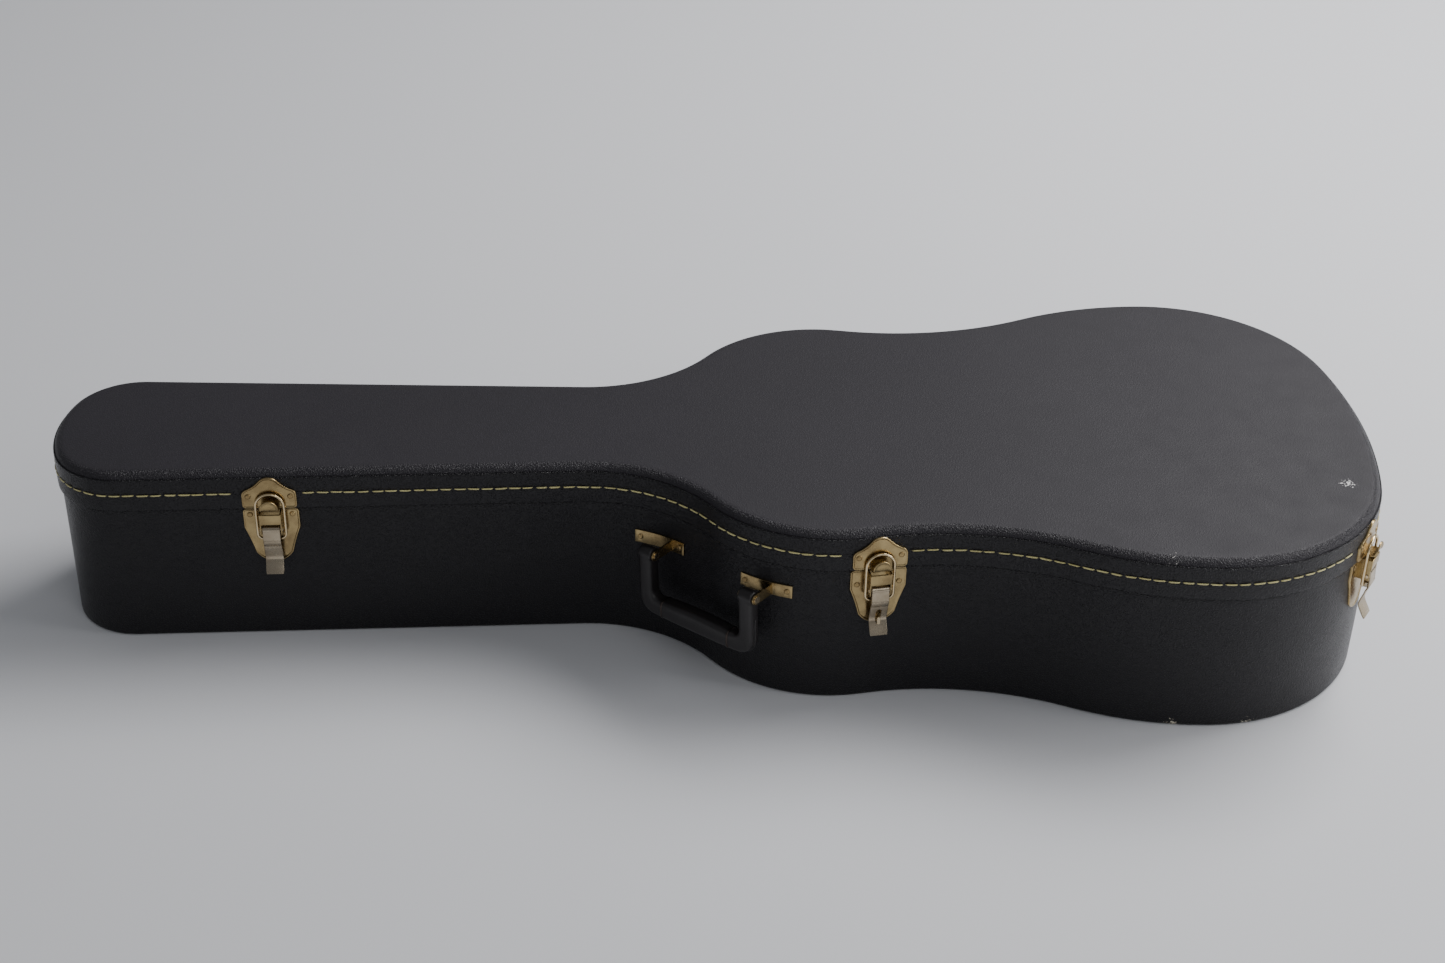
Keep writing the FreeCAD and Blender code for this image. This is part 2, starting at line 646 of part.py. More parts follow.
# ---- latches ----------------------------------------------------------------------------
def inset(points, by):
    """A plate profile drawn in towards its middle height by an even amount."""
    flat = []
    for item in points:
        flat += list(item) if isinstance(item[0], tuple) else [item]
    mid = (max(p[1] for p in flat) + min(p[1] for p in flat)) / 2
    wide = max(p[0] for p in flat)
    tall = max(p[1] for p in flat) - mid
    kx, kz = (wide - by) / wide, (tall - by) / tall

    def moved(p):
        return (p[0] * kx, mid + (p[1] - mid) * kz)
    return [tuple(moved(q) for q in item) if isinstance(item[0], tuple) else moved(item)
            for item in points]


def mirrored(right):
    """Closed profile from its right half, listed from bottom middle to top middle."""
    left = []
    starts = [item[1] if isinstance(item[0], tuple) else item for item in right]
    for i in range(len(right) - 1, 0, -1):
        back_to = (-starts[i - 1][0], starts[i - 1][1])
        item = right[i]
        if isinstance(item[0], tuple):
            left.append(((-item[0][0], item[0][1]), back_to))
        else:
            left.append(back_to)
    return right + left


def catch_profile():
    z0 = SEAM + CATCH_ABOVE_SEAM
    z1 = z0 + CATCH_HEIGHT
    w = CATCH_HALF_WIDTH
    c, k = PLATE_CORNER, PLATE_CORNER_MIDDLE
    points = [(0.0, z0), (w - c, z0), ((w - k, z0 + k), (w, z0 + c)), (w, z0 + CATCH_SIDE_RISE)]
    points.append(((w - CATCH_EAR[0], z0 + CATCH_EAR[1]), (w - CATCH_NECK[0], z0 + CATCH_NECK[1])))
    points.append(((w - CATCH_SWEEP[0], z1 - CATCH_SWEEP[1]), (w - CATCH_CROWN[0], z1 - CATCH_CROWN[1])))
    points.append(((w - CATCH_PEAK[0], z1 - CATCH_PEAK[1]), (0.0, z1)))
    return mirrored(points)


def strike_profile():
    z1 = SEAM - STRIKE_BELOW_SEAM
    z0 = z1 - STRIKE_HEIGHT
    w = STRIKE_HALF_WIDTH
    c, k = PLATE_CORNER, PLATE_CORNER_MIDDLE
    points = [(0.0, z0)]
    points.append(((w - STRIKE_TOE[0], z0 + STRIKE_TOE[1]), (w - STRIKE_FOOT[0], z0 + STRIKE_FOOT[1])))
    points.append(((w - STRIKE_CALF[0], z0 + STRIKE_CALF[1]), (w - STRIKE_KNEE[0], z0 + STRIKE_KNEE[1])))
    points.append((w - STRIKE_HIP[0], z0 + STRIKE_HIP[1]))
    points.append(((w - STRIKE_HIP_ROUND[0], z0 + STRIKE_HIP_ROUND[1]), (w, z0 + STRIKE_SIDE_RISE)))
    points += [(w, z1 - c), ((w - k, z1 - k), (w - c, z1)), (0.0, z1)]
    return mirrored(points)


def wall_plate(profile, place, wall, thickness, rim_width, rim_proud):
    """Sheet that lies on a curved wall, with a raised rim round its edge."""
    low = min(BASE_TOP - STRIKE_HEIGHT, SEAM) - CUT_REACH
    high = CASE_HEIGHT + CUT_REACH
    outline = placed(prism(profile, -CUT_REACH, CUT_REACH), place)
    sheet = outline.common(ring(wall + thickness, wall, low, high))
    if rim_width <= 0:
        return sheet
    middle = placed(prism(inset(profile, rim_width), -CUT_REACH, CUT_REACH), place)
    bead = outline.cut(middle).common(ring(wall + thickness + rim_proud, wall + thickness, low, high))
    return joined([sheet, bead])


def tongue(place):
    """Leaning tongue with a round tip, raised from the catch plate inside the loop."""
    z0 = SEAM + CATCH_ABOVE_SEAM + TONGUE_ABOVE_EDGE
    tip = SEAM + BAIL_TOP_ABOVE_SEAM - WIRE_RADIUS - TONGUE_GAP
    w = TONGUE_HALF_WIDTH
    shape = prism([(-w, z0), (w, z0), (w, tip - w), ((0.0, tip), (-w, tip - w))],
                  -CUT_REACH, CUT_MARGIN)
    root = LATCH_PLATE * 0.5
    out = LATCH_PLATE + TONGUE_REACH
    heel = root + TONGUE_THICKNESS + TONGUE_HEEL
    lean = side_prism([(root, z0), (heel, z0), (out + TONGUE_THICKNESS, tip),
                       (out, tip), (root, z0 + TONGUE_ROOT_HEIGHT)], -w, w)
    return placed(shape.common(lean), place)


def catch_plate(name, place):
    plate = wall_plate(catch_profile(), place, 0.0, LATCH_PLATE, PLATE_RIM, PLATE_RIM_PROUD)
    holes = [rivet_hole(place, x, rivet_catch_z()) for x in (-LATCH_RIVET_X, LATCH_RIVET_X)]
    export("catch_plate_" + name, joined([plate, tongue(place)]).cut(group(holes)))


def rivet_hole(place, x, z):
    """Cutter for a rivet's shank, right through a sheet on the wall."""
    return placed(cylinder(RIVET_SHANK, V(x, CUT_REACH, z), V(x, -CUT_REACH, z)), place)


def rivet_catch_z():
    return SEAM + CATCH_ABOVE_SEAM + CATCH_RIVET_RISE


def rivet_strike_z(name):
    return SEAM - BASE_RIVET_DROP[name]


def pivot_point(below, offset):
    return V(0, -offset, SEAM - below)


def strike_plate(name, place):
    """Base plate with two cheeks for the lever's pin and a bridge above them."""
    wall = BASE_SKIN_OUT
    plate = wall_plate(strike_profile(), place, wall, LATCH_PLATE, PLATE_RIM, PLATE_RIM_PROUD)
    face = wall + LATCH_PLATE * 0.5
    pivot = pivot_point(LEVER_PIVOT_BELOW_SEAM, LEVER_PIVOT_OFFSET)
    inner = LEVER_HALF_WIDTH + CHEEK_GAP
    outer = inner + CHEEK
    top = SEAM - STRIKE_BELOW_SEAM - BRIDGE_BELOW_EDGE
    front = LEVER_PIVOT_OFFSET + CHEEK_ROUND - CHEEK_SLOPE
    cheek_profile = [(face, pivot.z - CHEEK_ROUND), (LEVER_PIVOT_OFFSET, pivot.z - CHEEK_ROUND),
                     (front, pivot.z), (front, top), (face, top)]
    pieces = [plate]
    for x0, x1 in ((-outer, -inner), (inner, outer)):
        pieces.append(placed(side_prism(cheek_profile, x0, x1), place))
    bridge_low = pivot.z + BRIDGE_ABOVE_PIVOT
    bridge = box(-outer, outer, -front, -(front - CHEEK), bridge_low, top)
    pieces.append(placed(bridge, place))
    pin_bore = cylinder(LEVER_PIN_RADIUS, pivot - V(outer + 1, 0, 0), pivot + V(outer + 1, 0, 0))
    rivet_z = rivet_strike_z(name)
    cuts = [placed(pin_bore, place)]
    for x in (-LATCH_RIVET_X, LATCH_RIVET_X):
        cuts.append(rivet_hole(place, x, rivet_z))
    if name == "waist":
        post = V(0, 0, SEAM - LOCK_POST_BELOW_SEAM)
        through = V(0, CUT_REACH, 0)
        post_bore = cylinder(LOCK_POST_RADIUS + RUNNING_CLEARANCE, post + through, post - through)
        cuts.append(placed(post_bore, place))
    export("strike_plate_" + name, joined(pieces).cut(group(cuts)))

    # pin with a rounded head outside each cheek
    shaft = cylinder(LEVER_PIN_RADIUS, pivot - V(outer, 0, 0), pivot + V(outer, 0, 0))
    heads = [cylinder(PIN_HEAD_RADIUS, pivot + V(s * outer, 0, 0), pivot + V(s * (outer + PIN_HEAD), 0, 0))
             for s in (-1, 1)]
    export("lever_pin_" + name, placed(joined([shaft] + heads), place))


def lever(name, place):
    """Strap lever: barrel on the pin, lug for the loop's bar, tip turned outward."""
    pivot = pivot_point(LEVER_PIVOT_BELOW_SEAM, LEVER_PIVOT_OFFSET)
    bar = pivot_point(BAIL_BAR_BELOW_SEAM, BAIL_OFFSET)
    tip = SEAM - LEVER_TIP_BELOW_SEAM
    w = LEVER_HALF_WIDTH
    t = LEVER_STRAP
    out = LEVER_PIVOT_OFFSET + LEVER_BARREL_RADIUS - t
    centre = [(out, pivot.z), (out + LEVER_STEP_OUT, bar.z - LEVER_STEP_DROP),
              (out - LEVER_BEND_IN, bar.z - LEVER_BEND_DROP),
              (out + LEVER_DIP_EASE - LEVER_DIP, tip + LEVER_DIP_START),
              (out - LEVER_DIP, tip + LEVER_DIP_END), (out + LEVER_TIP_OUT, tip)]
    outer = [(p[0] + t, p[1]) for p in centre]
    strap = side_prism(centre + outer[::-1], -w, w)
    barrel = cylinder(LEVER_BARREL_RADIUS, pivot - V(w, 0, 0), pivot + V(w, 0, 0))
    lug = box(-LUG_HALF_WIDTH, LUG_HALF_WIDTH, -(out + LUG_ROOT), -(BAIL_OFFSET - WIRE_RADIUS - LUG_BACK),
              bar.z - LUG_HALF_HEIGHT, bar.z + LUG_HALF_HEIGHT)
    half_bore = V(w + 1, 0, 0)
    cuts = [cylinder(LEVER_PIN_RADIUS + RUNNING_CLEARANCE, pivot - half_bore, pivot + half_bore),
            cylinder(WIRE_RADIUS + RUNNING_CLEARANCE, bar - half_bore, bar + half_bore)]
    if name == "waist":
        mid = SEAM - LOCK_POST_BELOW_SEAM
        r = LOCK_SLOT_WIDTH / 2
        foot = mid - LOCK_HEAD_LENGTH / 2
        low = foot - LOCK_SLOT_BELOW_HEAD + r
        high = foot + LOCK_SLOT_LENGTH - r
        cuts.append(prism([(r, low), (r, high), ((0.0, high + r), (-r, high)), (-r, low),
                           ((0.0, low - r), (r, low))], -CUT_REACH, 0))
    export("lever_" + name, placed(joined([strap, barrel, lug]).cut(group(cuts)), place))


def bail(name, place):
    """Closed wire loop: round top, small corners at the bar that the lever holds."""
    y = -BAIL_OFFSET
    w = BAIL_HALF_WIDTH
    top = SEAM + BAIL_TOP_ABOVE_SEAM
    low = SEAM - BAIL_BAR_BELOW_SEAM
    c = BAIL_LOWER_CORNER
    k = c * (1 - math.sqrt(0.5))
    edges = [Part.makeLine(V(0, y, low), V(w - c, y, low)),
             Part.Arc(V(w - c, y, low), V(w - k, y, low + k), V(w, y, low + c)).toShape(),
             Part.makeLine(V(w, y, low + c), V(w, y, top - w)),
             Part.Arc(V(w, y, top - w), V(0, y, top), V(-w, y, top - w)).toShape(),
             Part.makeLine(V(-w, y, top - w), V(-w, y, low + c)),
             Part.Arc(V(-w, y, low + c), V(-w + k, y, low + k), V(-w + c, y, low)).toShape(),
             Part.makeLine(V(-w + c, y, low), V(0, y, low))]
    path = Part.Wire(edges)
    section = Part.Wire([Part.makeCircle(WIRE_RADIUS, V(0, y, low), V(1, 0, 0))])
    export("bail_" + name, placed(path.makePipeShell([section], True, False), place))


def lock_post(place):
    """Turning post in the locking latch, its oblong head in front of the lever."""
    z = SEAM - LOCK_POST_BELOW_SEAM
    face = LEVER_PIVOT_OFFSET + LEVER_BARREL_RADIUS - LEVER_DIP + LOCK_HEAD_GAP
    shaft = cylinder(LOCK_POST_RADIUS, V(0, -(BASE_SKIN_OUT + LOCK_POST_CLEAR), z), V(0, -face, z))
    half_long, r = LOCK_HEAD_LENGTH / 2 - LOCK_HEAD_WIDTH / 2, LOCK_HEAD_WIDTH / 2
    head = prism([(r, z - half_long), (r, z + half_long), ((0.0, z + half_long + r), (-r, z + half_long)),
                  (-r, z - half_long), ((0.0, z - half_long - r), (r, z - half_long))],
                 -face, -(face + LOCK_HEAD_THICKNESS))
    export("lock_post", placed(joined([shaft, head]), place))


def latches():
    lid_rivets, base_rivets = [], []
    for name, distance in LATCH_FROM_TAIL.items():
        place = wall_place(distance, -1)
        catch_plate(name, place)
        strike_plate(name, place)
        lever(name, place)
        bail(name, place)
        if name == "waist":
            lock_post(place)
        for x in (-LATCH_RIVET_X, LATCH_RIVET_X):
            lid_rivets.append(fitted_rivet(place, x, rivet_catch_z(), 0.0, LATCH_PLATE))
            base_rivets.append(fitted_rivet(place, x, rivet_strike_z(name), BASE_SKIN_OUT, LATCH_PLATE))
    return lid_rivets, base_rivets


def fitted_rivet(place, x, z, wall, thickness):
    """Rivet head resting on a plate that follows the curved wall; shank in the plate."""
    face = seat_offset(place, x, z, wall + thickness)
    ball = (RIVET_RADIUS ** 2 + RIVET_PROUD ** 2) / (2 * RIVET_PROUD)
    head = Part.makeSphere(ball, V(x, -face + ball - RIVET_PROUD, z))
    reach = RIVET_RADIUS + 1
    head = head.common(box(x - reach, x + reach, -face - CUT_MARGIN, -face + RIVET_BED, z - reach, z + reach))
    head = head.common(cylinder(RIVET_RADIUS, V(x, -face - CUT_MARGIN, z), V(x, -face + RIVET_BED, z)))
    plate = slab(wall + thickness, z - CUT_MARGIN, z + CUT_MARGIN)
    stem = placed(cylinder(RIVET_SHANK, V(x, -face - RIVET_LAP, z), V(x, CUT_REACH, z)), place)
    stem = stem.cut(slab(wall, z - CUT_MARGIN, z + CUT_MARGIN))
    return joined([placed(head, place).cut(plate), stem])


def seat_offset(place, x, z, offset):
    """Outward distance, at a fitting's local x, of the wall moved by offset."""
    probe = placed(Part.makeLine(V(x, CUT_REACH, z), V(x, -CUT_REACH, z)), place)
    face = slab(offset, z - 1, z + 1)
    hit = probe.common(face)
    local = place.inverse().multVec(farthest(hit, place))
    return -local.y


def farthest(shape, place):
    """The vertex of a shape that is furthest outward in a fitting's frame."""
    back = place.inverse()
    return min((v.Point for v in shape.Vertexes), key=lambda p: back.multVec(p).y)


# ---- handle -----------------------------------------------------------------------------
def handle_place():
    """Placement of the handle: local x along the pivot line, -y outward."""
    a = wall_place(HANDLE_HEAD_FROM_TAIL, -1).Base
    b = wall_place(HANDLE_TAIL_FROM_TAIL, -1).Base
    chord = b - a
    turn = math.degrees(math.atan2(chord.y, chord.x))
    rotation = FreeCAD.Rotation(UP, turn).multiply(FreeCAD.Rotation(V(0, -1, 0), HANDLE_TILT))
    middle = (a + b) * 0.5 + V(0, 0, SEAM - HANDLE_PIVOT_BELOW_SEAM)
    outward_ = FreeCAD.Rotation(UP, turn).multVec(V(0, -1, 0))
    return FreeCAD.Placement(middle + outward_ * HANDLE_PIVOT_OFFSET, rotation)


def u_solid(half_out, half_in, top, inner_low, outer_low, r_out, r_in, thickness):
    """Upright U, open at the top, centred on the local y plane."""
    k = 1 - math.sqrt(0.5)
    points = [(-half_out, top), (-half_out, outer_low + r_out),
              ((-half_out + r_out * k, outer_low + r_out * k), (-half_out + r_out, outer_low)),
              (half_out - r_out, outer_low),
              ((half_out - r_out * k, outer_low + r_out * k), (half_out, outer_low + r_out)),
              (half_out, top), (half_in, top), (half_in, inner_low + r_in),
              ((half_in - r_in * k, inner_low + r_in * k), (half_in - r_in, inner_low)),
              (-half_in + r_in, inner_low),
              ((-half_in + r_in * k, inner_low + r_in * k), (-half_in, inner_low + r_in))]
    return prism(points, -thickness / 2, thickness / 2)


def handle():
    place = handle_place()
    half_out = HANDLE_LEG_CENTRE + HANDLE_LEG_WIDTH / 2
    half_in = HANDLE_LEG_CENTRE - HANDLE_LEG_WIDTH / 2
    body = u_solid(half_out, half_in, 0.0, -HANDLE_DROP + GRIP_HEIGHT, -HANDLE_DROP,
                   HANDLE_OUTER_CORNER, HANDLE_INNER_CORNER, HANDLE_THICKNESS)
    eyes = [cylinder(HANDLE_THICKNESS / 2, V(s * half_in, 0, 0), V(s * half_out, 0, 0)) for s in (-1, 1)]
    core_in = half_in + CORE_DEPTH
    core_low = -HANDLE_DROP + GRIP_HEIGHT - CORE_DEPTH
    core_corner = HANDLE_INNER_CORNER + CORE_DEPTH
    core = u_solid(core_in + CORE_THICKNESS, core_in, -HANDLE_PIN_RADIUS - 2, core_low,
                   core_low - CORE_THICKNESS, core_corner + CORE_THICKNESS, core_corner, CORE_WIDTH)
    loose = HANDLE_PIN_RADIUS + RUNNING_CLEARANCE
    bores = [cylinder(loose, V(s * (half_in - 1), 0, 0), V(s * (half_out + 1), 0, 0)) for s in (-1, 1)]
    export("handle_core", placed(core, place))
    rims = [e for e in body.Edges if on_grip_rim(e)]
    grip = joined([body.makeFillet(HANDLE_EDGE, rims)] + eyes)
    export("handle_grip", placed(grip.cut(group(bores)).cut(core), place))

    pins = []
    rivets = []
    for name, distance, s in (("head", HANDLE_HEAD_FROM_TAIL, -1), ("tail", HANDLE_TAIL_FROM_TAIL, 1)):
        leg_low = s * HANDLE_LEG_CENTRE - HANDLE_LEG_WIDTH / 2
        leg_high = leg_low + HANDLE_LEG_WIDTH
        ear0 = leg_high + EAR_GAP
        ear1 = ear0 + EAR
        pins.append(placed(joined([
            cylinder(HANDLE_PIN_HEAD_RADIUS, V(leg_low - EAR_GAP - HANDLE_PIN_HEAD, 0, 0),
                     V(leg_low - EAR_GAP, 0, 0)),
            cylinder(HANDLE_PIN_RADIUS, V(leg_low - EAR_GAP, 0, 0), V(ear1, 0, 0)),
            cylinder(HANDLE_PIN_HEAD_RADIUS, V(ear1, 0, 0), V(ear1 + HANDLE_PIN_HEAD, 0, 0))]), place))
        wall = wall_place(distance, -1)
        mid = place.multVec(V((ear0 + ear1) / 2, 0, 0))
        plate_z = mid.z
        half, low, high = BRACKET_LENGTH / 2, plate_z - BRACKET_HEIGHT / 2, plate_z + BRACKET_HEIGHT / 2
        profile = [(-half, low), (half, low), (half, high), (-half, high)]
        plate = wall_plate(profile, wall, BASE_SKIN_OUT, BRACKET_PLATE, 0, 0)
        r = EAR_HEIGHT / 2
        reach = HANDLE_PIVOT_OFFSET + BRACKET_LENGTH
        strap = box(ear0, ear1, 0, reach, -r, r)
        tab = joined([strap, cylinder(r, V(ear0, 0, 0), V(ear1, 0, 0))])
        inside = slab(BASE_SKIN_OUT + BRACKET_PLATE * 0.5, -CUT_REACH, CASE_HEIGHT + CUT_REACH)
        tab = placed(tab, place).cut(inside)
        bore = placed(cylinder(HANDLE_PIN_RADIUS, V(ear0 - 1, 0, 0), V(ear1 + 1, 0, 0)), place)
        holes = []
        for x in (-BRACKET_RIVET_X, BRACKET_RIVET_X):
            holes.append(rivet_hole(wall, x, plate_z))
            rivets.append(fitted_rivet(wall, x, plate_z, BASE_SKIN_OUT, BRACKET_PLATE))
        export("handle_bracket_" + name, joined([plate, tab]).cut(group([bore] + holes)))
    export("handle_pins", group(pins))
    return rivets


def on_grip_rim(edge):
    """True for the long edges of the grip's two broad faces."""
    bound = edge.BoundBox
    flat = HANDLE_THICKNESS / 2
    on_face = abs(abs(bound.YMin) - flat) < TINY and abs(bound.YMax - bound.YMin) < TINY
    return on_face and bound.ZMin < -1


# ---- hinges -----------------------------------------------------------------------------
def hinge_line():
    """Point and direction of the pin line, just outside the widest places on the back.

    The line touches the lower bout's circle and whichever of the upper bout and the
    head's corner stands out further, so that the whole case lies on one side of it.
    """
    c1, r1 = OUTLINE[LOWER_BOUT_PIECE][2:4]
    leans = []
    for piece in (UPPER_BOUT_PIECE, HEAD_CORNER_PIECE):
        c2, r2 = OUTLINE[piece][2:4]
        d = unit(c1, c2)
        gap = math.hypot(c2[0] - c1[0], c2[1] - c1[1])
        # outward normal of the tangent that touches both circles on the same side
        leans.append(math.atan2(d[1], d[0]) + math.pi / 2 - math.asin((r1 - r2) / gap))
    lean = max(leans)
    n = (math.cos(lean), math.sin(lean))
    p = (c1[0] + n[0] * (r1 + HINGE_AXIS_OFFSET), c1[1] + n[1] * (r1 + HINGE_AXIS_OFFSET))
    point = to_part(p[0], p[1], 1, SEAM)
    normal = V(-n[0], n[1], 0)
    return point, normal


def hinge_place(distance):
    """Placement on the pin line nearest a wall point: local x along it, -y outward."""
    point, normal = hinge_line()
    turn = math.degrees(math.atan2(normal.x, -normal.y))
    along = FreeCAD.Rotation(UP, turn).multVec(V(1, 0, 0))
    wall = wall_place(distance, 1).Base
    foot = point + along * ((wall - point).dot(along))
    return FreeCAD.Placement(V(foot.x, foot.y, SEAM), FreeCAD.Rotation(UP, turn))


def hinges():
    pins, lid_rivets, base_rivets, cover = [], [], [], []
    third = HINGE_LENGTH / 3
    for name, distance in HINGE_FROM_TAIL.items():
        place = hinge_place(distance)
        wall = wall_place(distance, 1)
        end = HINGE_LENGTH / 2
        reach = place.inverse().multVec(wall.Base).y + HINGE_LENGTH
        pins.append(placed(cylinder(HINGE_PIN_RADIUS, V(-end, 0, 0), V(end, 0, 0)), place))
        bore = placed(cylinder(HINGE_PIN_RADIUS, V(-end - 1, 0, 0), V(end + 1, 0, 0)), place)
        wide = HINGE_PIN_RADIUS + RUNNING_CLEARANCE
        loose = placed(cylinder(wide, V(-end - 1, 0, 0), V(end + 1, 0, 0)), place)
        spans = {"lid": [(-end, -third / 2 - KNUCKLE_SPLIT / 2), (third / 2 + KNUCKLE_SPLIT / 2, end)],
                 "base": [(-third / 2 + KNUCKLE_SPLIT / 2, third / 2 - KNUCKLE_SPLIT / 2)]}
        for part, sign, offset in (("lid", 1, 0.0), ("base", -1, BASE_SKIN_OUT)):
            z0 = SEAM + sign * LEAF_FROM_AXIS
            z1 = z0 + sign * LEAF_HEIGHT
            low, high = min(z0, z1), max(z0, z1)
            profile = [(-end, low), (end, low), (end, high), (-end, high)]
            leaf = wall_plate(profile, wall, offset, HINGE_LEAF, 0, 0)
            # web: from the knuckle up (or down) and in to the wall leaf
            web_low = min(sign * (LEAF_FROM_AXIS + HINGE_LEAF), sign * LEAF_FROM_AXIS)
            pieces = [leaf]
            for x0, x1 in spans[part]:
                pieces.append(placed(cylinder(KNUCKLE_RADIUS, V(x0, 0, 0), V(x1, 0, 0)), place))
                rise = sign * (LEAF_FROM_AXIS + HINGE_LEAF)
                stem = box(x0, x1, -HINGE_LEAF / 2, HINGE_LEAF / 2, min(0, rise), max(0, rise))
                arm = box(x0, x1, -HINGE_LEAF / 2, reach, web_low, web_low + HINGE_LEAF)
                arm = placed(arm, place).cut(slab(offset + HINGE_LEAF * 0.5, 0, CASE_HEIGHT))
                pieces += [placed(stem, place), arm]
            leaf_z = (z0 + z1) / 2
            holes = []
            for x in (-HINGE_RIVET_X, HINGE_RIVET_X):
                holes.append(rivet_hole(wall, x, leaf_z))
                rivet = fitted_rivet(wall, x, leaf_z, offset, HINGE_LEAF)
                (lid_rivets if part == "lid" else base_rivets).append(rivet)
            hole = loose if part == "lid" else bore
            export("hinge_" + name + "_" + part, joined(pieces).cut(group([hole] + holes)))
        cover.append((wall, end + 1))
    export("hinge_pins", group(pins))
    return lid_rivets, base_rivets, cover


def main():
    os.makedirs("parts", exist_ok=True)
    base_shell()
    base_linings()
    partitions()
    accessory_lid()
    neck_cradle()
    head_pad()
    lid_shell()
    lid_rivets, base_rivets = latches()
    handle_rivets = handle()
    hinge_lid_rivets, hinge_base_rivets, cover = hinges()
    export("latch_rivets_lid", group(lid_rivets))
    export("latch_rivets_base", group(base_rivets))
    export("handle_rivets", group(handle_rivets))
    export("hinge_rivets_lid", group(hinge_lid_rivets))
    export("hinge_rivets_base", group(hinge_base_rivets))
    plates = [(wall_place(d, -1), CATCH_HALF_WIDTH + STITCH_CLEAR) for d in LATCH_FROM_TAIL.values()]
    stitching(plates + cover)


main()
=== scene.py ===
import json
import math

import bmesh
import bpy
import numpy as np
from mathutils import Matrix, Vector
from mathutils.geometry import delaunay_2d_cdt


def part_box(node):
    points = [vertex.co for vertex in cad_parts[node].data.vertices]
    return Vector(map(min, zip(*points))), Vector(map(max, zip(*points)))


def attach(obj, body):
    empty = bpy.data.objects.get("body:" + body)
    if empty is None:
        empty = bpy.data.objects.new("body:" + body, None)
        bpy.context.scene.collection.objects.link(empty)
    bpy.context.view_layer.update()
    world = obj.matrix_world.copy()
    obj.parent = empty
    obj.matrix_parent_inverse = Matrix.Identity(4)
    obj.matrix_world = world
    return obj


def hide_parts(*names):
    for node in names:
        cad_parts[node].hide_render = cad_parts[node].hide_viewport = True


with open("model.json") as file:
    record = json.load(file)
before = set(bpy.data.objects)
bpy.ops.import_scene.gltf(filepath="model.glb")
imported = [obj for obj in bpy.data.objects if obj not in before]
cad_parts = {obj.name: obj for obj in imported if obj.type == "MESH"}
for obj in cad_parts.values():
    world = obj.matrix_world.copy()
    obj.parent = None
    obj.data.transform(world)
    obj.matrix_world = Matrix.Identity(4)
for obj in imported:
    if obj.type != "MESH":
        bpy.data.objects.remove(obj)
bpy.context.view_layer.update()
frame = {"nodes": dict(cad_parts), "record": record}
RNG = np.random.default_rng(7)
MM = 0.001

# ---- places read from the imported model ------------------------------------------
BAND_LOW, BAND_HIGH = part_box("lid_band")
SKIN_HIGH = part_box("lid_skin")[1]
WALL_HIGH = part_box("base_skin_side")[1]
PANEL_LOW, PANEL_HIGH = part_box("lid_panel")
THREAD_LOW, THREAD_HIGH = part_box("lid_stitching")
TOP_Z = SKIN_HIGH[2]
BAND_BOTTOM, BAND_TOP = BAND_LOW[2], BAND_HIGH[2]
BASE_TOP = WALL_HIGH[2]
STITCH_Z = (THREAD_LOW[2] + THREAD_HIGH[2]) / 2
LEDGE = BAND_HIGH[0] - SKIN_HIGH[0]          # lid skin stands inside the band
OVERHANG = BAND_HIGH[0] - WALL_HIGH[0]       # base wall stands inside the band
PANEL_IN = BAND_HIGH[0] - PANEL_HIGH[0]
JOINTS = {j["name"]: j for j in frame["record"]["behaviour"]["joints"]}
LATCHES = ("neck", "waist", "tail")

# ---- sizes of the finish -----------------------------------------------------------
EDGE_RADIUS = 8.0 * MM
FLOOR_RADIUS = 3.0 * MM
STITCH_PITCH = 11.0 * MM
STITCH_LENGTH = 9.7 * MM
STITCH_WIDTH = 1.45 * MM
STITCH_DEPTH = 0.5 * MM
STITCH_SIDES, STITCH_STEPS = 8, 9
STRAIGHT = 40.0 * MM          # a longer side of the plan outline is a straight
CATCH_COVER = 22.4 * MM       # half of the stitch line that each catch plate hides
HINGE_COVER = 29.0 * MM       # and that each hinge leaf hides
COVER_CLEAR = 3.0 * MM
LOOP_COUNT = 1400             # points round the plan outline
CLOSEST = 1.0 * MM            # outline points nearer than this count as one
SAME_HEIGHT = 1e-5
WELD = 1e-6
TINY = 1e-9
NEARLY = 0.9                  # cosine past which two directions count as parallel
GRID_PER_GAP = 2.2            # spacing inside a plate, as a share of its rim's spacing
GRID_CLEAR = 0.6              # and its clearance from the rim, as a share of the grid
WAVE_SIZE, WAVE_DEPTH, WAVE_SEED = 160 * MM, 0.22 * MM, 3
WAVE_MARGIN, WAVE_FADE = 6 * MM, 30 * MM


# ---- plan outline ----------------------------
def plan_loop(count):
    """Points and outward normals of the band's outer face, evenly spaced in plan.

    The loop comes from the lid panel's lower edge, the one closed outline that a
    plain panel has, and is moved out to the band's face.
    """
    mesh = frame["nodes"]["lid_panel"].data
    co = np.array([v.co[:] for v in mesh.vertices])
    low = co[np.abs(co[:, 2] - PANEL_LOW[2]) < SAME_HEIGHT][:, :2]
    low = np.unique(np.round(low, 6), axis=0)
    front, back = low[low[:, 1] <= WELD], low[low[:, 1] > WELD]
    loop = np.vstack([front[np.argsort(front[:, 0])], back[np.argsort(-back[:, 0])]])
    keep = [0]
    for i in range(1, len(loop)):
        if np.linalg.norm(loop[i] - loop[keep[-1]]) > CLOSEST:
            keep.append(i)
    return resample(loop[keep], count)


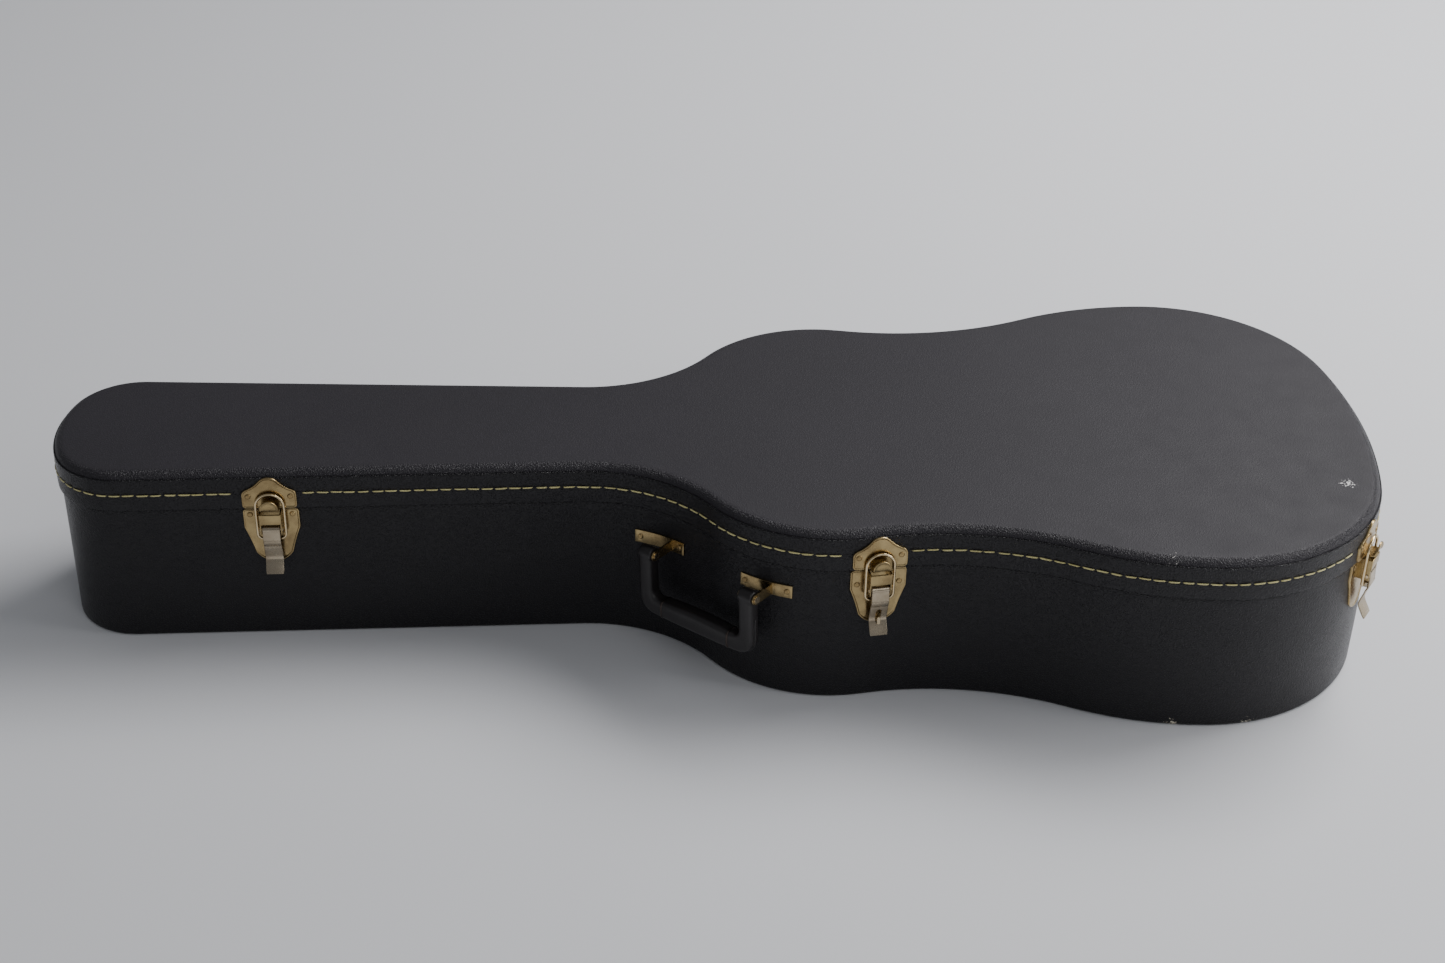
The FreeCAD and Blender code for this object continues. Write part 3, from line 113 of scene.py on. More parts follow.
def resample(loop, count):
    """Even points and normals on a smooth closed curve through a loop."""
    n = len(loop)
    closed = np.vstack([loop, loop[:1]])
    step = np.linalg.norm(np.diff(closed, axis=0), axis=1)
    s = np.concatenate([[0], np.cumsum(step)])
    before = np.roll(loop, 1, axis=0)
    after = np.roll(loop, -1, axis=0)
    # tangents weighted by the lengths on each side, then a cubic between the points
    d0 = np.roll(step, 1)[:, None]
    d1 = step[:, None]
    tangent = ((loop - before) / d0 * d1 + (after - loop) / d1 * d0) / (d0 + d1)
    # the ends of the straight neck keep the direction of the straight
    for i in np.nonzero(step > STRAIGHT)[0]:
        j = (i + 1) % n
        tangent[i] = tangent[j] = (loop[j] - loop[i]) / step[i]
    t = np.linspace(0, s[-1], count, endpoint=False)
    k = np.clip(np.searchsorted(s, t, side="right") - 1, 0, n - 1)
    h = step[k]
    a = ((t - s[k]) / h)[:, None]
    p0, p1 = loop[k], loop[(k + 1) % n]
    m0, m1 = tangent[k] * h[:, None], tangent[(k + 1) % n] * h[:, None]
    pts = ((2 * a ** 3 - 3 * a ** 2 + 1) * p0 + (a ** 3 - 2 * a ** 2 + a) * m0
           + (-2 * a ** 3 + 3 * a ** 2) * p1 + (a ** 3 - a ** 2) * m1)
    d = np.roll(pts, -1, axis=0) - np.roll(pts, 1, axis=0)
    d /= np.linalg.norm(d, axis=1)[:, None]
    normal = np.column_stack([d[:, 1], -d[:, 0]])
    return pts + normal * PANEL_IN, normal


LOOP, NORMAL = plan_loop(LOOP_COUNT)
STEP = np.linalg.norm(np.roll(LOOP, -1, axis=0) - LOOP, axis=1)
LENGTH = float(STEP.sum())
ALONG = np.concatenate([[0], np.cumsum(STEP)])[:-1]


def at_length(s):
    """Plan point and outward normal at a distance along the loop."""
    s = s % LENGTH
    i = int(np.searchsorted(ALONG, s, side="right") - 1)
    j = (i + 1) % len(LOOP)
    k = (s - ALONG[i]) / STEP[i]
    n = NORMAL[i] * (1 - k) + NORMAL[j] * k
    return LOOP[i] * (1 - k) + LOOP[j] * k, n / np.linalg.norm(n)


# ---- mesh helpers ----------------------------
def link_object(name, mesh):
    obj = bpy.data.objects.new(name, mesh)
    bpy.context.scene.collection.objects.link(obj)
    return obj


def shade_smooth(mesh):
    mesh.polygons.foreach_set("use_smooth", [True] * len(mesh.polygons))


def new_object(name, verts, faces, smooth=True):
    mesh = bpy.data.meshes.new(name)
    mesh.from_pydata([tuple(v) for v in verts], [], [tuple(f) for f in faces])
    mesh.validate()
    mesh.update()
    if smooth:
        shade_smooth(mesh)
    return link_object(name, mesh)


def finish_piece(obj, body, material, slot, *nodes):
    """Rides on a body, stands for CAD nodes and takes a material; slot is not used."""
    obj.data.materials.clear()
    obj.data.materials.append(MATERIALS[material])
    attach(obj, body)
    if nodes:
        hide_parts(*nodes)
    return obj


def solid(name, verts, faces, crisp=None, smooth=True):
    """Mesh with outward normals; edges sharper than crisp degrees stay crisp."""
    obj = new_object(name, verts, faces, smooth)
    bm = bmesh.new()
    bm.from_mesh(obj.data)
    bmesh.ops.recalc_face_normals(bm, faces=bm.faces)
    for e in bm.edges if crisp else ():
        if len(e.link_faces) == 2 and e.calc_face_angle(0.0) > math.radians(crisp):
            e.smooth = False
    bm.to_mesh(obj.data)
    bm.free()
    return obj


def ring_faces(rings, count, first=False, last=False, wrap=False, start=0):
    """Quads between rings of count points, with flat caps on the first and last ring."""
    faces = []
    for j in range(rings if wrap else rings - 1):
        a, b = start + j * count, start + (j + 1) % rings * count
        for k in range(count):
            q = (k + 1) % count
            faces.append((a + k, a + q, b + q, b + k))
    if first:
        faces.append(tuple(start + k for k in range(count))[::-1])
    if last:
        faces.append(tuple(start + (rings - 1) * count + k for k in range(count)))
    return faces


def modifier(obj, kind, **values):
    made = obj.modifiers.new(kind.lower(), kind)
    for key, value in values.items():
        setattr(made, key, value)


def bake(obj):
    """Puts what an object's modifiers make of its mesh in the mesh's place."""
    bpy.context.view_layer.update()
    done = obj.evaluated_get(bpy.context.evaluated_depsgraph_get())
    mesh = bpy.data.meshes.new_from_object(done)
    obj.modifiers.clear()
    obj.data = mesh


def wobble(points, size, amount, seed):
    """Smooth pseudo-random heights: a few crossed waves of about one wavelength."""
    rng = np.random.default_rng(seed)
    out = np.zeros(len(points))
    for _ in range(7):
        k = rng.normal(size=3)
        k *= 2 * math.pi / (size * rng.uniform(0.7, 1.6)) / np.linalg.norm(k)
        out += np.sin(points @ k + rng.uniform(0, 2 * math.pi))
    return out * amount / math.sqrt(7)


def sweep(name, profile, close_profile=False, cap_first=False, cap_last=False, every=1):
    """Surface that carries an (offset, height) profile round the whole plan outline."""
    loop, normal = LOOP[::every], NORMAL[::every]
    verts = np.empty((len(profile), len(loop), 3))
    for row, (offset, z) in zip(verts, profile):
        row[:, :2] = loop + normal * offset
        row[:, 2] = z
    return solid(name, verts.reshape(-1, 3),
                 ring_faces(len(profile), len(loop), cap_first, cap_last, wrap=close_profile))


def arc(cx, cz, radius, start, end, steps):
    """Points on an arc, angles in degrees from the first axis."""
    turns = [math.radians(start + (end - start) * i / steps) for i in range(steps + 1)]
    return [(cx + radius * math.cos(a), cz + radius * math.sin(a)) for a in turns]


def through(a, b, c, steps):
    """Points on the arc from a to c through b, without a itself."""
    (ax, ay), (bx, by), (cx, cy) = a, b, c
    aa, bb, cc = ax * ax + ay * ay, bx * bx + by * by, cx * cx + cy * cy
    d = 2 * (ax * (by - cy) + bx * (cy - ay) + cx * (ay - by))
    ux = (aa * (by - cy) + bb * (cy - ay) + cc * (ay - by)) / d
    uy = (aa * (cx - bx) + bb * (ax - cx) + cc * (bx - ax)) / d
    t0, t1, t2 = (math.atan2(y - uy, x - ux) for x, y in (a, b, c))
    turn = (t2 - t0) % (2 * math.pi)
    if (t1 - t0) % (2 * math.pi) > turn:
        turn -= 2 * math.pi
    return arc(ux, uy, math.hypot(ax - ux, ay - uy), math.degrees(t0), math.degrees(t0 + turn), steps)[1:]


def even(points, gap):
    """A closed polygon resampled at about an even gap."""
    p = np.array(points)
    q = np.vstack([p, p[:1]])
    d = np.linalg.norm(np.diff(q, axis=0), axis=1)
    s = np.concatenate([[0], np.cumsum(d)])
    n = max(12, int(round(s[-1] / gap)))
    t = np.linspace(0, s[-1], n, endpoint=False)
    return np.column_stack([np.interp(t, s, q[:, 0]), np.interp(t, s, q[:, 1])])


def polygon_normals(p):
    d = np.roll(p, -1, axis=0) - np.roll(p, 1, axis=0)
    d /= np.linalg.norm(d, axis=1)[:, None]
    area = 0.5 * np.sum(p[:, 0] * np.roll(p[:, 1], -1) - np.roll(p[:, 0], -1) * p[:, 1])
    n = np.column_stack([d[:, 1], -d[:, 0]])
    return n if area > 0 else -n


def plate_mesh(outline, rings, gap):
    """Triangles of a pressed plate: its (x, z) points, their heights and the faces.

    rings is a list of (inset, height); the plate is level at the last ring's height.
    """
    outer = even(outline, gap)
    n, count = polygon_normals(outer), len(outer)
    pts, heights, edges = [], [], []
    for inset, height in rings:
        start = len(pts)
        pts.extend((outer - n * inset).tolist())
        heights.extend([height] * count)
        edges.extend([(start + i, start + (i + 1) % count) for i in range(count)])
    last, level = rings[-1]
    low, high = outer.min(axis=0), outer.max(axis=0)
    grid = GRID_PER_GAP * gap
    inner = outer - n * last
    for i, z in enumerate(np.arange(low[1], high[1], grid)):
        for x in np.arange(low[0], high[0], grid) + (grid / 2 if i % 2 else 0):
            near = np.min(np.hypot(inner[:, 0] - x, inner[:, 1] - z))
            if near > grid * GRID_CLEAR and inside(inner, x, z):
                pts.append([x, z])
                heights.append(level)
    coords, _, tris, origin = delaunay_2d_cdt([Vector(p) for p in pts], edges, [], 1, TINY)[:4]
    height = [heights[o[0]] if o else level for o in origin]
    return np.array([[c[0], c[1]] for c in coords]), np.array(height), [tuple(t) for t in tris]


def inside(loop, x, z):
    a, b = loop, np.roll(loop, -1, axis=0)
    cross = (a[:, 1] > z) != (b[:, 1] > z)
    with np.errstate(divide="ignore", invalid="ignore"):
        xi = a[:, 0] + (z - a[:, 1]) / (b[:, 1] - a[:, 1]) * (b[:, 0] - a[:, 0])
    return bool(np.sum(cross & (x < xi)) % 2)


def tube(name, path, radius, sides, closed=False):
    """Round wire along a list of points."""
    p = np.array(path, float)
    d = np.roll(p, -1, axis=0) - np.roll(p, 1, axis=0) if closed else np.gradient(p, axis=0)
    d /= np.linalg.norm(d, axis=1)[:, None]
    side = np.cross(d[0], [1.0, 0.0, 0.0] if abs(d[0][2]) > NEARLY else [0.0, 0.0, 1.0])
    verts = []
    for here, ahead in zip(p, d):
        side = side - ahead * (side @ ahead)
        side /= np.linalg.norm(side)
        up = np.cross(ahead, side)
        for k in range(sides):
            a = 2 * math.pi * k / sides
            verts.append(here + radius * (math.cos(a) * side + math.sin(a) * up))
    return solid(name, verts, ring_faces(len(p), sides, not closed, not closed, wrap=closed))


def lathe(name, profile, origin, axis, sides=28):
    """Turned piece: (radius, height) profile round an axis, closed at both ends."""
    axis = Vector(axis).normalized()
    ref = Vector((0, 0, 1)) if abs(axis.z) < NEARLY else Vector((1, 0, 0))
    x = axis.cross(ref).normalized()
    y = axis.cross(x)
    verts = []
    for r, h in profile:
        for k in range(sides):
            a = 2 * math.pi * k / sides
            verts.append(Vector(origin) + axis * h + (x * math.cos(a) + y * math.sin(a)) * r)
    return solid(name, verts, ring_faces(len(profile), sides, True, True), crisp=50)


def block(name, fitting, x, width, out, z, radius):
    """Block with rounded edges on a fitting, between two distances out and two heights."""
    size = (width, out[1] - out[0], z[1] - z[0])
    bm = bmesh.new()
    bmesh.ops.create_cube(bm, size=1.0)
    for v in bm.verts:
        v.co = Vector(a * b for a, b in zip(v.co, size))
    bmesh.ops.bevel(bm, geom=list(bm.edges), offset=radius, segments=3, profile=0.5, affect="EDGES")
    bm.transform(fitting.matrix(x, sum(out) / 2, sum(z) / 2))
    mesh = bpy.data.meshes.new(name)
    bm.to_mesh(mesh)
    bm.free()
    shade_smooth(mesh)
    return link_object(name, mesh)


def merge(name, objects):
    """One object from several, each already in the case's frame."""
    bm = bmesh.new()
    for obj in objects:
        part = obj.data
        bm.from_mesh(part)
        bpy.data.objects.remove(obj)
        bpy.data.meshes.remove(part)
    mesh = bpy.data.meshes.new(name)
    bm.to_mesh(mesh)
    bm.free()
    return link_object(name, mesh)


# ---- materials -------------------------------
class Nodes:
    """Short way to lay out a node material from numbers, colours and other outputs."""

    def __init__(self, name):
        self.material = bpy.data.materials.new(name)
        self.material.use_nodes = True
        self.tree = self.material.node_tree
        self.shader = self.tree.nodes["Principled BSDF"]
        place = self.add("ShaderNodeTexCoord")
        self.coord = place.outputs["Object"]
        self.face = place.outputs["Normal"]

    def feed(self, socket, value):
        if isinstance(value, bpy.types.NodeSocket):
            self.tree.links.new(value, socket)
        else:
            socket.default_value = (*value, 1.0) if socket.type == "RGBA" else value

    def add(self, kind, sockets=None, **values):
        node = self.tree.nodes.new(kind)
        for key, value in values.items():
            setattr(node, key, value)
        for key, value in (sockets or {}).items():
            self.feed(node.inputs[key], value)
        return node

    def set(self, socket, value):
        self.feed(self.shader.inputs[socket], value)

    def noise(self, scale, detail=3.0, roughness=0.5, vector=None, output="Fac"):
        sockets = {"Scale": scale, "Detail": detail, "Roughness": roughness, "Vector": vector or self.coord}
        return self.add("ShaderNodeTexNoise", sockets).outputs[output]

    def cells(self, scale, vector, feature):
        node = self.add("ShaderNodeTexVoronoi", {"Scale": scale, "Vector": vector}, feature=feature)
        if feature == "SMOOTH_F1":
            node.inputs["Smoothness"].default_value = 0.6
        return node.outputs["Distance"]

    def ramp(self, value, stops):
        """Grey levels between (place, level) stops."""
        node = self.add("ShaderNodeValToRGB", {"Fac": value})
        while len(node.color_ramp.elements) < len(stops):
            node.color_ramp.elements.new(0.5)
        for element, (place, level) in zip(node.color_ramp.elements, stops):
            element.position = place
            element.color = (level, level, level, 1.0)
        return node.outputs["Color"]

    def rise(self, value, start, end):
        return self.ramp(value, [(start, 0.0), (end, 1.0)])

    def math(self, kind, a, b=None, clamp=False):
        sockets = {0: a} if b is None else {0: a, 1: b}
        return self.add("ShaderNodeMath", sockets, operation=kind, use_clamp=clamp).outputs[0]

    def scaled(self, value, gain, base, clamp=False):
        """A value times a gain, on top of a base."""
        return self.math("ADD", self.math("MULTIPLY", value, gain), base, clamp)

    def mix(self, factor, a, b):
        return self.add("ShaderNodeMix", {0: factor, 6: a, 7: b}, data_type="RGBA").outputs[2]

    def vector(self, kind, sockets):
        return self.add("ShaderNodeVectorMath", sockets, operation=kind)

    def warp(self, scale, amount):
        """Object coordinates pushed about by noise, in metres."""
        shift = self.vector("SUBTRACT", {0: self.noise(scale, 2.0, output="Color"), 1: (0.5, 0.5, 0.5)})
        size = self.vector("SCALE", {0: shift.outputs[0], "Scale": amount})
        return self.vector("ADD", {0: self.coord, 1: size.outputs[0]}).outputs[0]

    def stretched(self, scale):
        return self.add("ShaderNodeMapping", {"Vector": self.coord, "Scale": scale}).outputs[0]

    def bump(self, height, distance, strength=1.0):
        sockets = {"Strength": strength, "Distance": distance, "Height": height}
        return self.add("ShaderNodeBump", sockets).outputs["Normal"]

    def near(self, centre, radius):
        """1 at a point in the case's frame, falling to 0 at a radius round it."""
        away = self.vector("DISTANCE", {0: self.coord, 1: centre})
        return self.math("SUBTRACT", 1.0, self.math("DIVIDE", away.outputs["Value"], radius), clamp=True)


def vinyl(name, dark, light, rough, grain, depth, edge_depth, wear=()):
    """Embossed black vinyl: pebble cells with fine creases and a soft gloss.

    The grain stands out more where the vinyl is stretched round an edge. wear is a
    list of (centre, radius, colour) for rubbed or chipped places.
    """
    m = Nodes(name)
    vec = m.warp(240.0, 0.0016)
    pebble = m.ramp(m.cells(grain, vec, "SMOOTH_F1"), [(0.05, 1.0), (0.75, 0.0)])
    valley = m.rise(m.cells(grain * 0.6, vec, "DISTANCE_TO_EDGE"), 0.0, 0.16)
    height = m.scaled(m.noise(grain * 2.6, 2.0), 0.35, m.math("MULTIPLY", pebble, valley))
    patch = m.math("MULTIPLY", m.noise(7.0, 4.0, 0.6), 0.5)
    color = m.mix(m.scaled(m.rise(height, 0.2, 1.1), 0.5, patch), dark, light)
    roughness = m.scaled(m.noise(45.0, 4.0), 0.18, rough - 0.09)
    for centre, radius, tint in wear:
        spot = m.near(centre, radius)
        reach = m.scaled(spot, 0.28, m.noise(520.0, 2.0))
        mask = m.math("MULTIPLY", m.rise(reach, 0.70, 0.76), m.rise(spot, 0.0, 0.1))
        color = m.mix(mask, color, tint)
    level = m.math("ABSOLUTE", m.add("ShaderNodeSeparateXYZ", {0: m.face}).outputs[2])
    edge = m.ramp(level, [(0.05, 0.0), (0.2, 1.0), (0.93, 1.0), (0.995, 0.0)])
    strength = m.scaled(edge, edge_depth - depth, depth)
    m.set("Base Color", color)
    m.set("Roughness", m.math("SUBTRACT", roughness, m.math("MULTIPLY", edge, 0.14)))
    m.set("IOR", 1.42)
    m.set("Normal", m.bump(m.math("MULTIPLY", height, strength), 1.0))
    return m.material


def metal(name, bright, dull, rough, tarnish, scratch):
    """Worn plating: stained patches, fine scratches and uneven gloss."""
    m = Nodes(name)
    mask = m.math("MULTIPLY", m.rise(m.noise(70.0, 4.0, 0.55), 0.35, 0.8), tarnish)
    mask = m.scaled(m.rise(m.noise(900.0, 3.0), 0.6, 0.8), tarnish * 0.5, mask, clamp=True)
    lines = m.noise(1.0, 3.0, vector=m.stretched((1400.0, 1400.0, 160.0)))
    m.set("Base Color", m.mix(mask, bright, dull))
    m.set("Metallic", 1.0)
    m.set("Roughness", m.scaled(lines, scratch * 0.4, m.scaled(mask, 0.25, rough)))
    m.set("Normal", m.bump(lines, 0.00003, scratch))
    return m.material


def thread_material():
    m = Nodes("thread_cream")
    twist = m.add("ShaderNodeTexWave", {"Scale": 700.0, "Distortion": 2.0, "Vector": m.coord},
                  wave_type="BANDS", bands_direction="DIAGONAL").outputs["Fac"]
    base = m.mix(m.rise(m.noise(30.0, 4.0), 0.35, 0.7), (0.84, 0.76, 0.33), (0.66, 0.57, 0.20))
    m.set("Base Color", m.mix(m.math("MULTIPLY", twist, 0.35), base, (0.92, 0.86, 0.50)))
    m.set("Roughness", 0.55)
    m.set("Normal", m.bump(twist, 0.0002))
    m.set("Sheen Weight", 0.3)
    return m.material


def plush_material(name, deep, tip):
    m = Nodes(name)
    pile = m.noise(2600.0, 2.0, 0.6)
    brushed = m.noise(22.0, 4.0, 0.6)
    tone = m.scaled(pile, 0.45, m.math("MULTIPLY", m.rise(brushed, 0.3, 0.7), 0.55))
    m.set("Base Color", m.mix(tone, deep, tip))
    m.set("Roughness", 0.95)
    m.set("Sheen Weight", 0.8)
    m.set("Sheen Roughness", 0.45)
    m.set("Normal", m.bump(m.scaled(brushed, 0.6, pile), 0.0009))
    return m.material


def plywood_material():
    m = Nodes("plywood_raw")
    grain = m.noise(1.0, 5.0, 0.6, vector=m.stretched((14.0, 160.0, 500.0)))
    m.set("Base Color", m.mix(m.rise(grain, 0.3, 0.7), (0.42, 0.28, 0.15), (0.70, 0.53, 0.33)))
    m.set("Roughness", 0.75)
    m.set("Normal", m.bump(grain, 0.0004))
    return m.material


def plain_black(name, tone, rough, grain_scale, depth):
    """Moulded or pressed black board, with a fine surface and patchy gloss."""
    m = Nodes(name)
    fine = m.noise(grain_scale, 3.0)
    patch = m.noise(24.0, 4.0)
    m.set("Base Color", m.mix(patch, tuple(c * 0.75 for c in tone), tuple(c * 1.35 for c in tone)))
    m.set("Roughness", m.scaled(patch, 0.2, rough - 0.1))
    m.set("Normal", m.bump(m.scaled(patch, 0.5, fine), depth))
    return m.material


def stage_material():
    m = Nodes("stage_paper")
    m.set("Base Color", m.mix(m.noise(3.0, 2.0), (0.79, 0.80, 0.82), (0.81, 0.82, 0.84)))
    m.set("Roughness", 0.85)
    return m.material


SCUFF_TOP = (0.505, -0.099, TOP_Z)
SCUFF_EDGE = (0.345, -0.201, BAND_TOP)
CREAM = (0.72, 0.66, 0.52)
FLOOR_NICKS = [((x, -0.19, 0.001), 0.009, CREAM) for x in (0.115, 0.205)]
FLOOR_NICKS += [((x, -0.207, 0.001), 0.008, CREAM) for x in (0.29, 0.36, 0.42)]
MATERIALS = {
    # One black vinyl in three copies: the top's copy is painted lighter, as painted light falling from above,
    # and the side's and the band's copies are painted darker, as painted shade.
    "top": vinyl("vinyl_top_painted_lit", (0.0185, 0.0168, 0.0205), (0.036, 0.0328, 0.0392), 0.56, 850.0,
                 0.00012, 0.00062, wear=[(SCUFF_TOP, 0.009, (0.80, 0.79, 0.77)),
                                         (SCUFF_EDGE, 0.008, (0.55, 0.53, 0.5))]),
    "side": vinyl("vinyl_side_painted_shade", (0.0035, 0.0030, 0.0042), (0.009, 0.0078, 0.0100), 0.32, 760.0,
                  0.00042, 0.00046, wear=FLOOR_NICKS),
    "band": vinyl("vinyl_band_painted_shade", (0.0045, 0.0040, 0.0052), (0.011, 0.0098, 0.0122), 0.32, 680.0,
                  0.00044, 0.00070),
    "brass": metal("brass_plating", (0.47, 0.36, 0.18), (0.15, 0.09, 0.04), 0.15, 0.65, 0.22),
    "rivet": metal("brass_rivet", (0.44, 0.32, 0.15), (0.12, 0.07, 0.03), 0.22, 0.6, 0.25),
    "nickel": metal("lever_worn", (0.50, 0.43, 0.32), (0.22, 0.15, 0.08), 0.14, 0.5, 0.5),
    "wire": metal("loop_plating", (0.80, 0.66, 0.42), (0.34, 0.22, 0.10), 0.12, 0.45, 0.15),
    "steel": metal("pin_steel", (0.72, 0.60, 0.40), (0.26, 0.17, 0.09), 0.18, 0.4, 0.2),
    "core": metal("core_steel", (0.55, 0.53, 0.50), (0.30, 0.12, 0.05), 0.35, 0.6, 0.3),
    "thread": thread_material(),
    "plush": plush_material("plush_charcoal", (0.030, 0.026, 0.025), (0.110, 0.098, 0.092)),
    "plywood": plywood_material(),
    "lip": plain_black("lip_fibre", (0.02, 0.02, 0.02), 0.6, 900.0, 0.0002),
    "handle": plain_black("handle_moulded", (0.014, 0.012, 0.0125), 0.40, 700.0, 0.00012),
    "collar": metal("collar_strip", (0.085, 0.075, 0.07), (0.06, 0.03, 0.02), 0.25, 0.5, 0.2),
    "ribbon": plain_black("ribbon_weave", (0.03, 0.03, 0.03), 0.7, 1800.0, 0.0003),
    "stage": stage_material(),
}


# ---- shells ----------------------------------
def lid_cover():
    """Vinyl over the lid: wall, rounded top edge and the flat top."""
    out = -LEDGE
    centre = (out - EDGE_RADIUS, TOP_Z - EDGE_RADIUS)
    profile = [(out - 0.8 * MM, BAND_BOTTOM), (out, BAND_BOTTOM)]
    profile += [(out, z) for z in np.linspace(BAND_BOTTOM + 0.01, centre[1], 4)]
    profile += arc(*centre, EDGE_RADIUS, 8, 90, 12)
    inset = out - EDGE_RADIUS
    for step in (1.5, 4.0, 8.0, 14.0, 22.0):
        profile.append((inset - step * MM, TOP_Z))
    obj = sweep("lid_cover", profile, cap_last=True, every=2)
    # the lid takes the top's copy of the vinyl, whose colour carries painted light
    return finish_piece(obj, "lid", "top", "vinyl", "lid_skin")


def rising(base, *steps):
    """Profile points from steps in millimetres (outward, up) above a height."""
    return [(offset * MM, base + up * MM) for offset, up in steps]


def band_cover():
    """Band round the lid: wrapped edges, a slight swell and a dip under the thread."""
    back = -LEDGE + 0.05 * MM
    profile = [(back, BAND_BOTTOM + 0.2 * MM)]
    profile += rising(BAND_BOTTOM, (-0.75, 0.0), (-0.3, 0.15), (-0.05, 0.6), (0.0, 1.4), (0.15, 5.0))
    profile += rising(STITCH_Z, (0.1, -3.0), (0.0, -1.8), (-0.28, -0.9), (-0.36, 0.0), (-0.28, 0.9),
                      (0.0, 1.8), (0.1, 4.0))
    profile += rising(BAND_TOP, (0.05, -2.5), (0.0, -0.9), (-0.2, -0.3), (-0.6, 0.0))
    profile.append((back, BAND_TOP + 0.05 * MM))
    obj = sweep("band_cover", profile, close_profile=True)
    # the band takes a copy of the vinyl painted darker, as painted shade
    return finish_piece(obj, "lid", "band", "band_vinyl", "lid_band")


def base_cover():
    """Vinyl over the base: floor, small bottom edge radius and the wall."""
    out = -OVERHANG
    centre = (out - FLOOR_RADIUS, FLOOR_RADIUS)
    profile = [(out - s * MM, 0.0) for s in (26.0, 14.0, 7.0)]
    profile += arc(*centre, FLOOR_RADIUS, -90, 0, 6)
    profile += [(out, z) for z in np.linspace(FLOOR_RADIUS + 0.006, BASE_TOP - 0.4 * MM, 22)]
    profile += [(out - 0.3 * MM, BASE_TOP), (out - 0.8 * MM, BASE_TOP)]
    obj = sweep("base_cover", profile, cap_first=True, every=2)
    co = np.empty(len(obj.data.vertices) * 3)
    obj.data.vertices.foreach_get("co", co)
    co = co.reshape(-1, 3)
    # the wall is not dead flat: long shallow waves, none at the floor and the rim
    room = np.minimum(co[:, 2] - WAVE_MARGIN, BASE_TOP - WAVE_MARGIN - co[:, 2])
    push = wobble(co, WAVE_SIZE, WAVE_DEPTH, WAVE_SEED) * np.clip(room / WAVE_FADE, 0, 1)
    co[:, :2] += NORMAL[nearest(co[:, :2])] * push[:, None]
    obj.data.vertices.foreach_set("co", co.ravel())
    obj.data.update()
    # the base takes the side's copy of the vinyl, painted darker, as painted shade
    return finish_piece(obj, "base", "side", "vinyl", "base_skin_side", "base_skin_bottom")


def nearest(points):
    """Index of the nearest loop point for each plan point."""
    out = np.empty(len(points), int)
    for start in range(0, len(points), 4000):
        block = points[start:start + 4000]
        d = ((block[:, None, :] - LOOP[None, :, :]) ** 2).sum(axis=2)
        out[start:start + 4000] = d.argmin(axis=1)
    return out


def covered(s, places):
    """True where a fitting lies over the stitch line."""
    return any(abs((s - centre + LENGTH / 2) % LENGTH - LENGTH / 2) < half for centre, half in places)


def length_at(point):
    """Distance along the loop of the place nearest a plan point."""
    return float(ALONG[nearest(np.array([point[:2]]))[0]])


def stitches():
    """One line of separate stitches, each dipping into the vinyl at both ends."""
    hidden = []
    for name in LATCHES:
        low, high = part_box("catch_plate_" + name)
        hidden.append((length_at(((low[0] + high[0]) / 2, (low[1] + high[1]) / 2)), CATCH_COVER))
    for name in ("tail", "waist", "head"):
        low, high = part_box("hinge_" + name + "_lid")
        hidden.append((length_at(((low[0] + high[0]) / 2, high[1])), HINGE_COVER))
    count = int(round(LENGTH / STITCH_PITCH))
    verts, faces = [], []
    for i in range(count):
        mid = (i + RNG.uniform(-0.05, 0.05)) * LENGTH / count
        half = STITCH_LENGTH / 2 * RNG.uniform(0.9, 1.06)
        if covered(mid, [(c, h + COVER_CLEAR) for c, h in hidden]):
            continue
        width = STITCH_WIDTH / 2 * RNG.uniform(0.85, 1.12)
        slope = RNG.normal(0, 0.035)
        rise = RNG.normal(0, 0.12) * MM
        start = len(verts)
        for j in range(STITCH_STEPS):
            k = -1 + 2 * j / (STITCH_STEPS - 1)
            p, n = at_length(mid + half * k)
            taper = math.sqrt(max(0.0, 1 - abs(k) ** 7)) * 0.85 + 0.15
            out = (0.12 + 0.2 * (1 - k * k) - 0.4 * k ** 12) * MM
            z = STITCH_Z + rise + slope * half * k
            for q in range(STITCH_SIDES):
                a = 2 * math.pi * q / STITCH_SIDES
                r_out = STITCH_DEPTH * taper
                verts.append((p[0] + n[0] * (out + r_out * math.cos(a)),
                              p[1] + n[1] * (out + r_out * math.cos(a)),
                              z + width * taper * math.sin(a)))
        faces += ring_faces(STITCH_STEPS, STITCH_SIDES, True, True, start=start)
    obj = solid("stitch_line", verts, faces)
    return finish_piece(obj, "lid", "thread", "thread", "lid_stitching")


# ---- latches ---------------------------------
# sizes that repeat the CAD fittings, in metres
PIVOT_OUT = 5.4 * MM
LOOP_OUT = 3.8 * MM
WIRE = 1.2 * MM
PLATE = 1.2 * MM
LOOP_CLEAR = 1.6 * MM         # left between the tongue's tip and the wire
LOOP_HALF, LOOP_CORNER = 11.3 * MM, 4.5 * MM
SHEET = 1.3 * MM              # cheeks and lever
CHEEK_IN = 7.6 * MM           # half of the gap between the cheeks
CATCH_HALF, STRIKE_HALF = 22.0 * MM, 22.6 * MM
PLATE_GAP, TONGUE_GAP = 0.7 * MM, 0.6 * MM
TONGUE_HALF = 7.5 * MM
TONGUE_SHEET = 0.7 * MM
RIVET_RADIUS, RIVET_PROUD, RIVET_STEP = 2.4 * MM, 0.9 * MM, 0.12 * MM
RIVET_DOME = ((0.93, 0.55), (0.75, 0.88), (0.5, 1.0), (0.3, 0.93), (0.12, 0.8))
RIVET_SIDE = 17.0 * MM


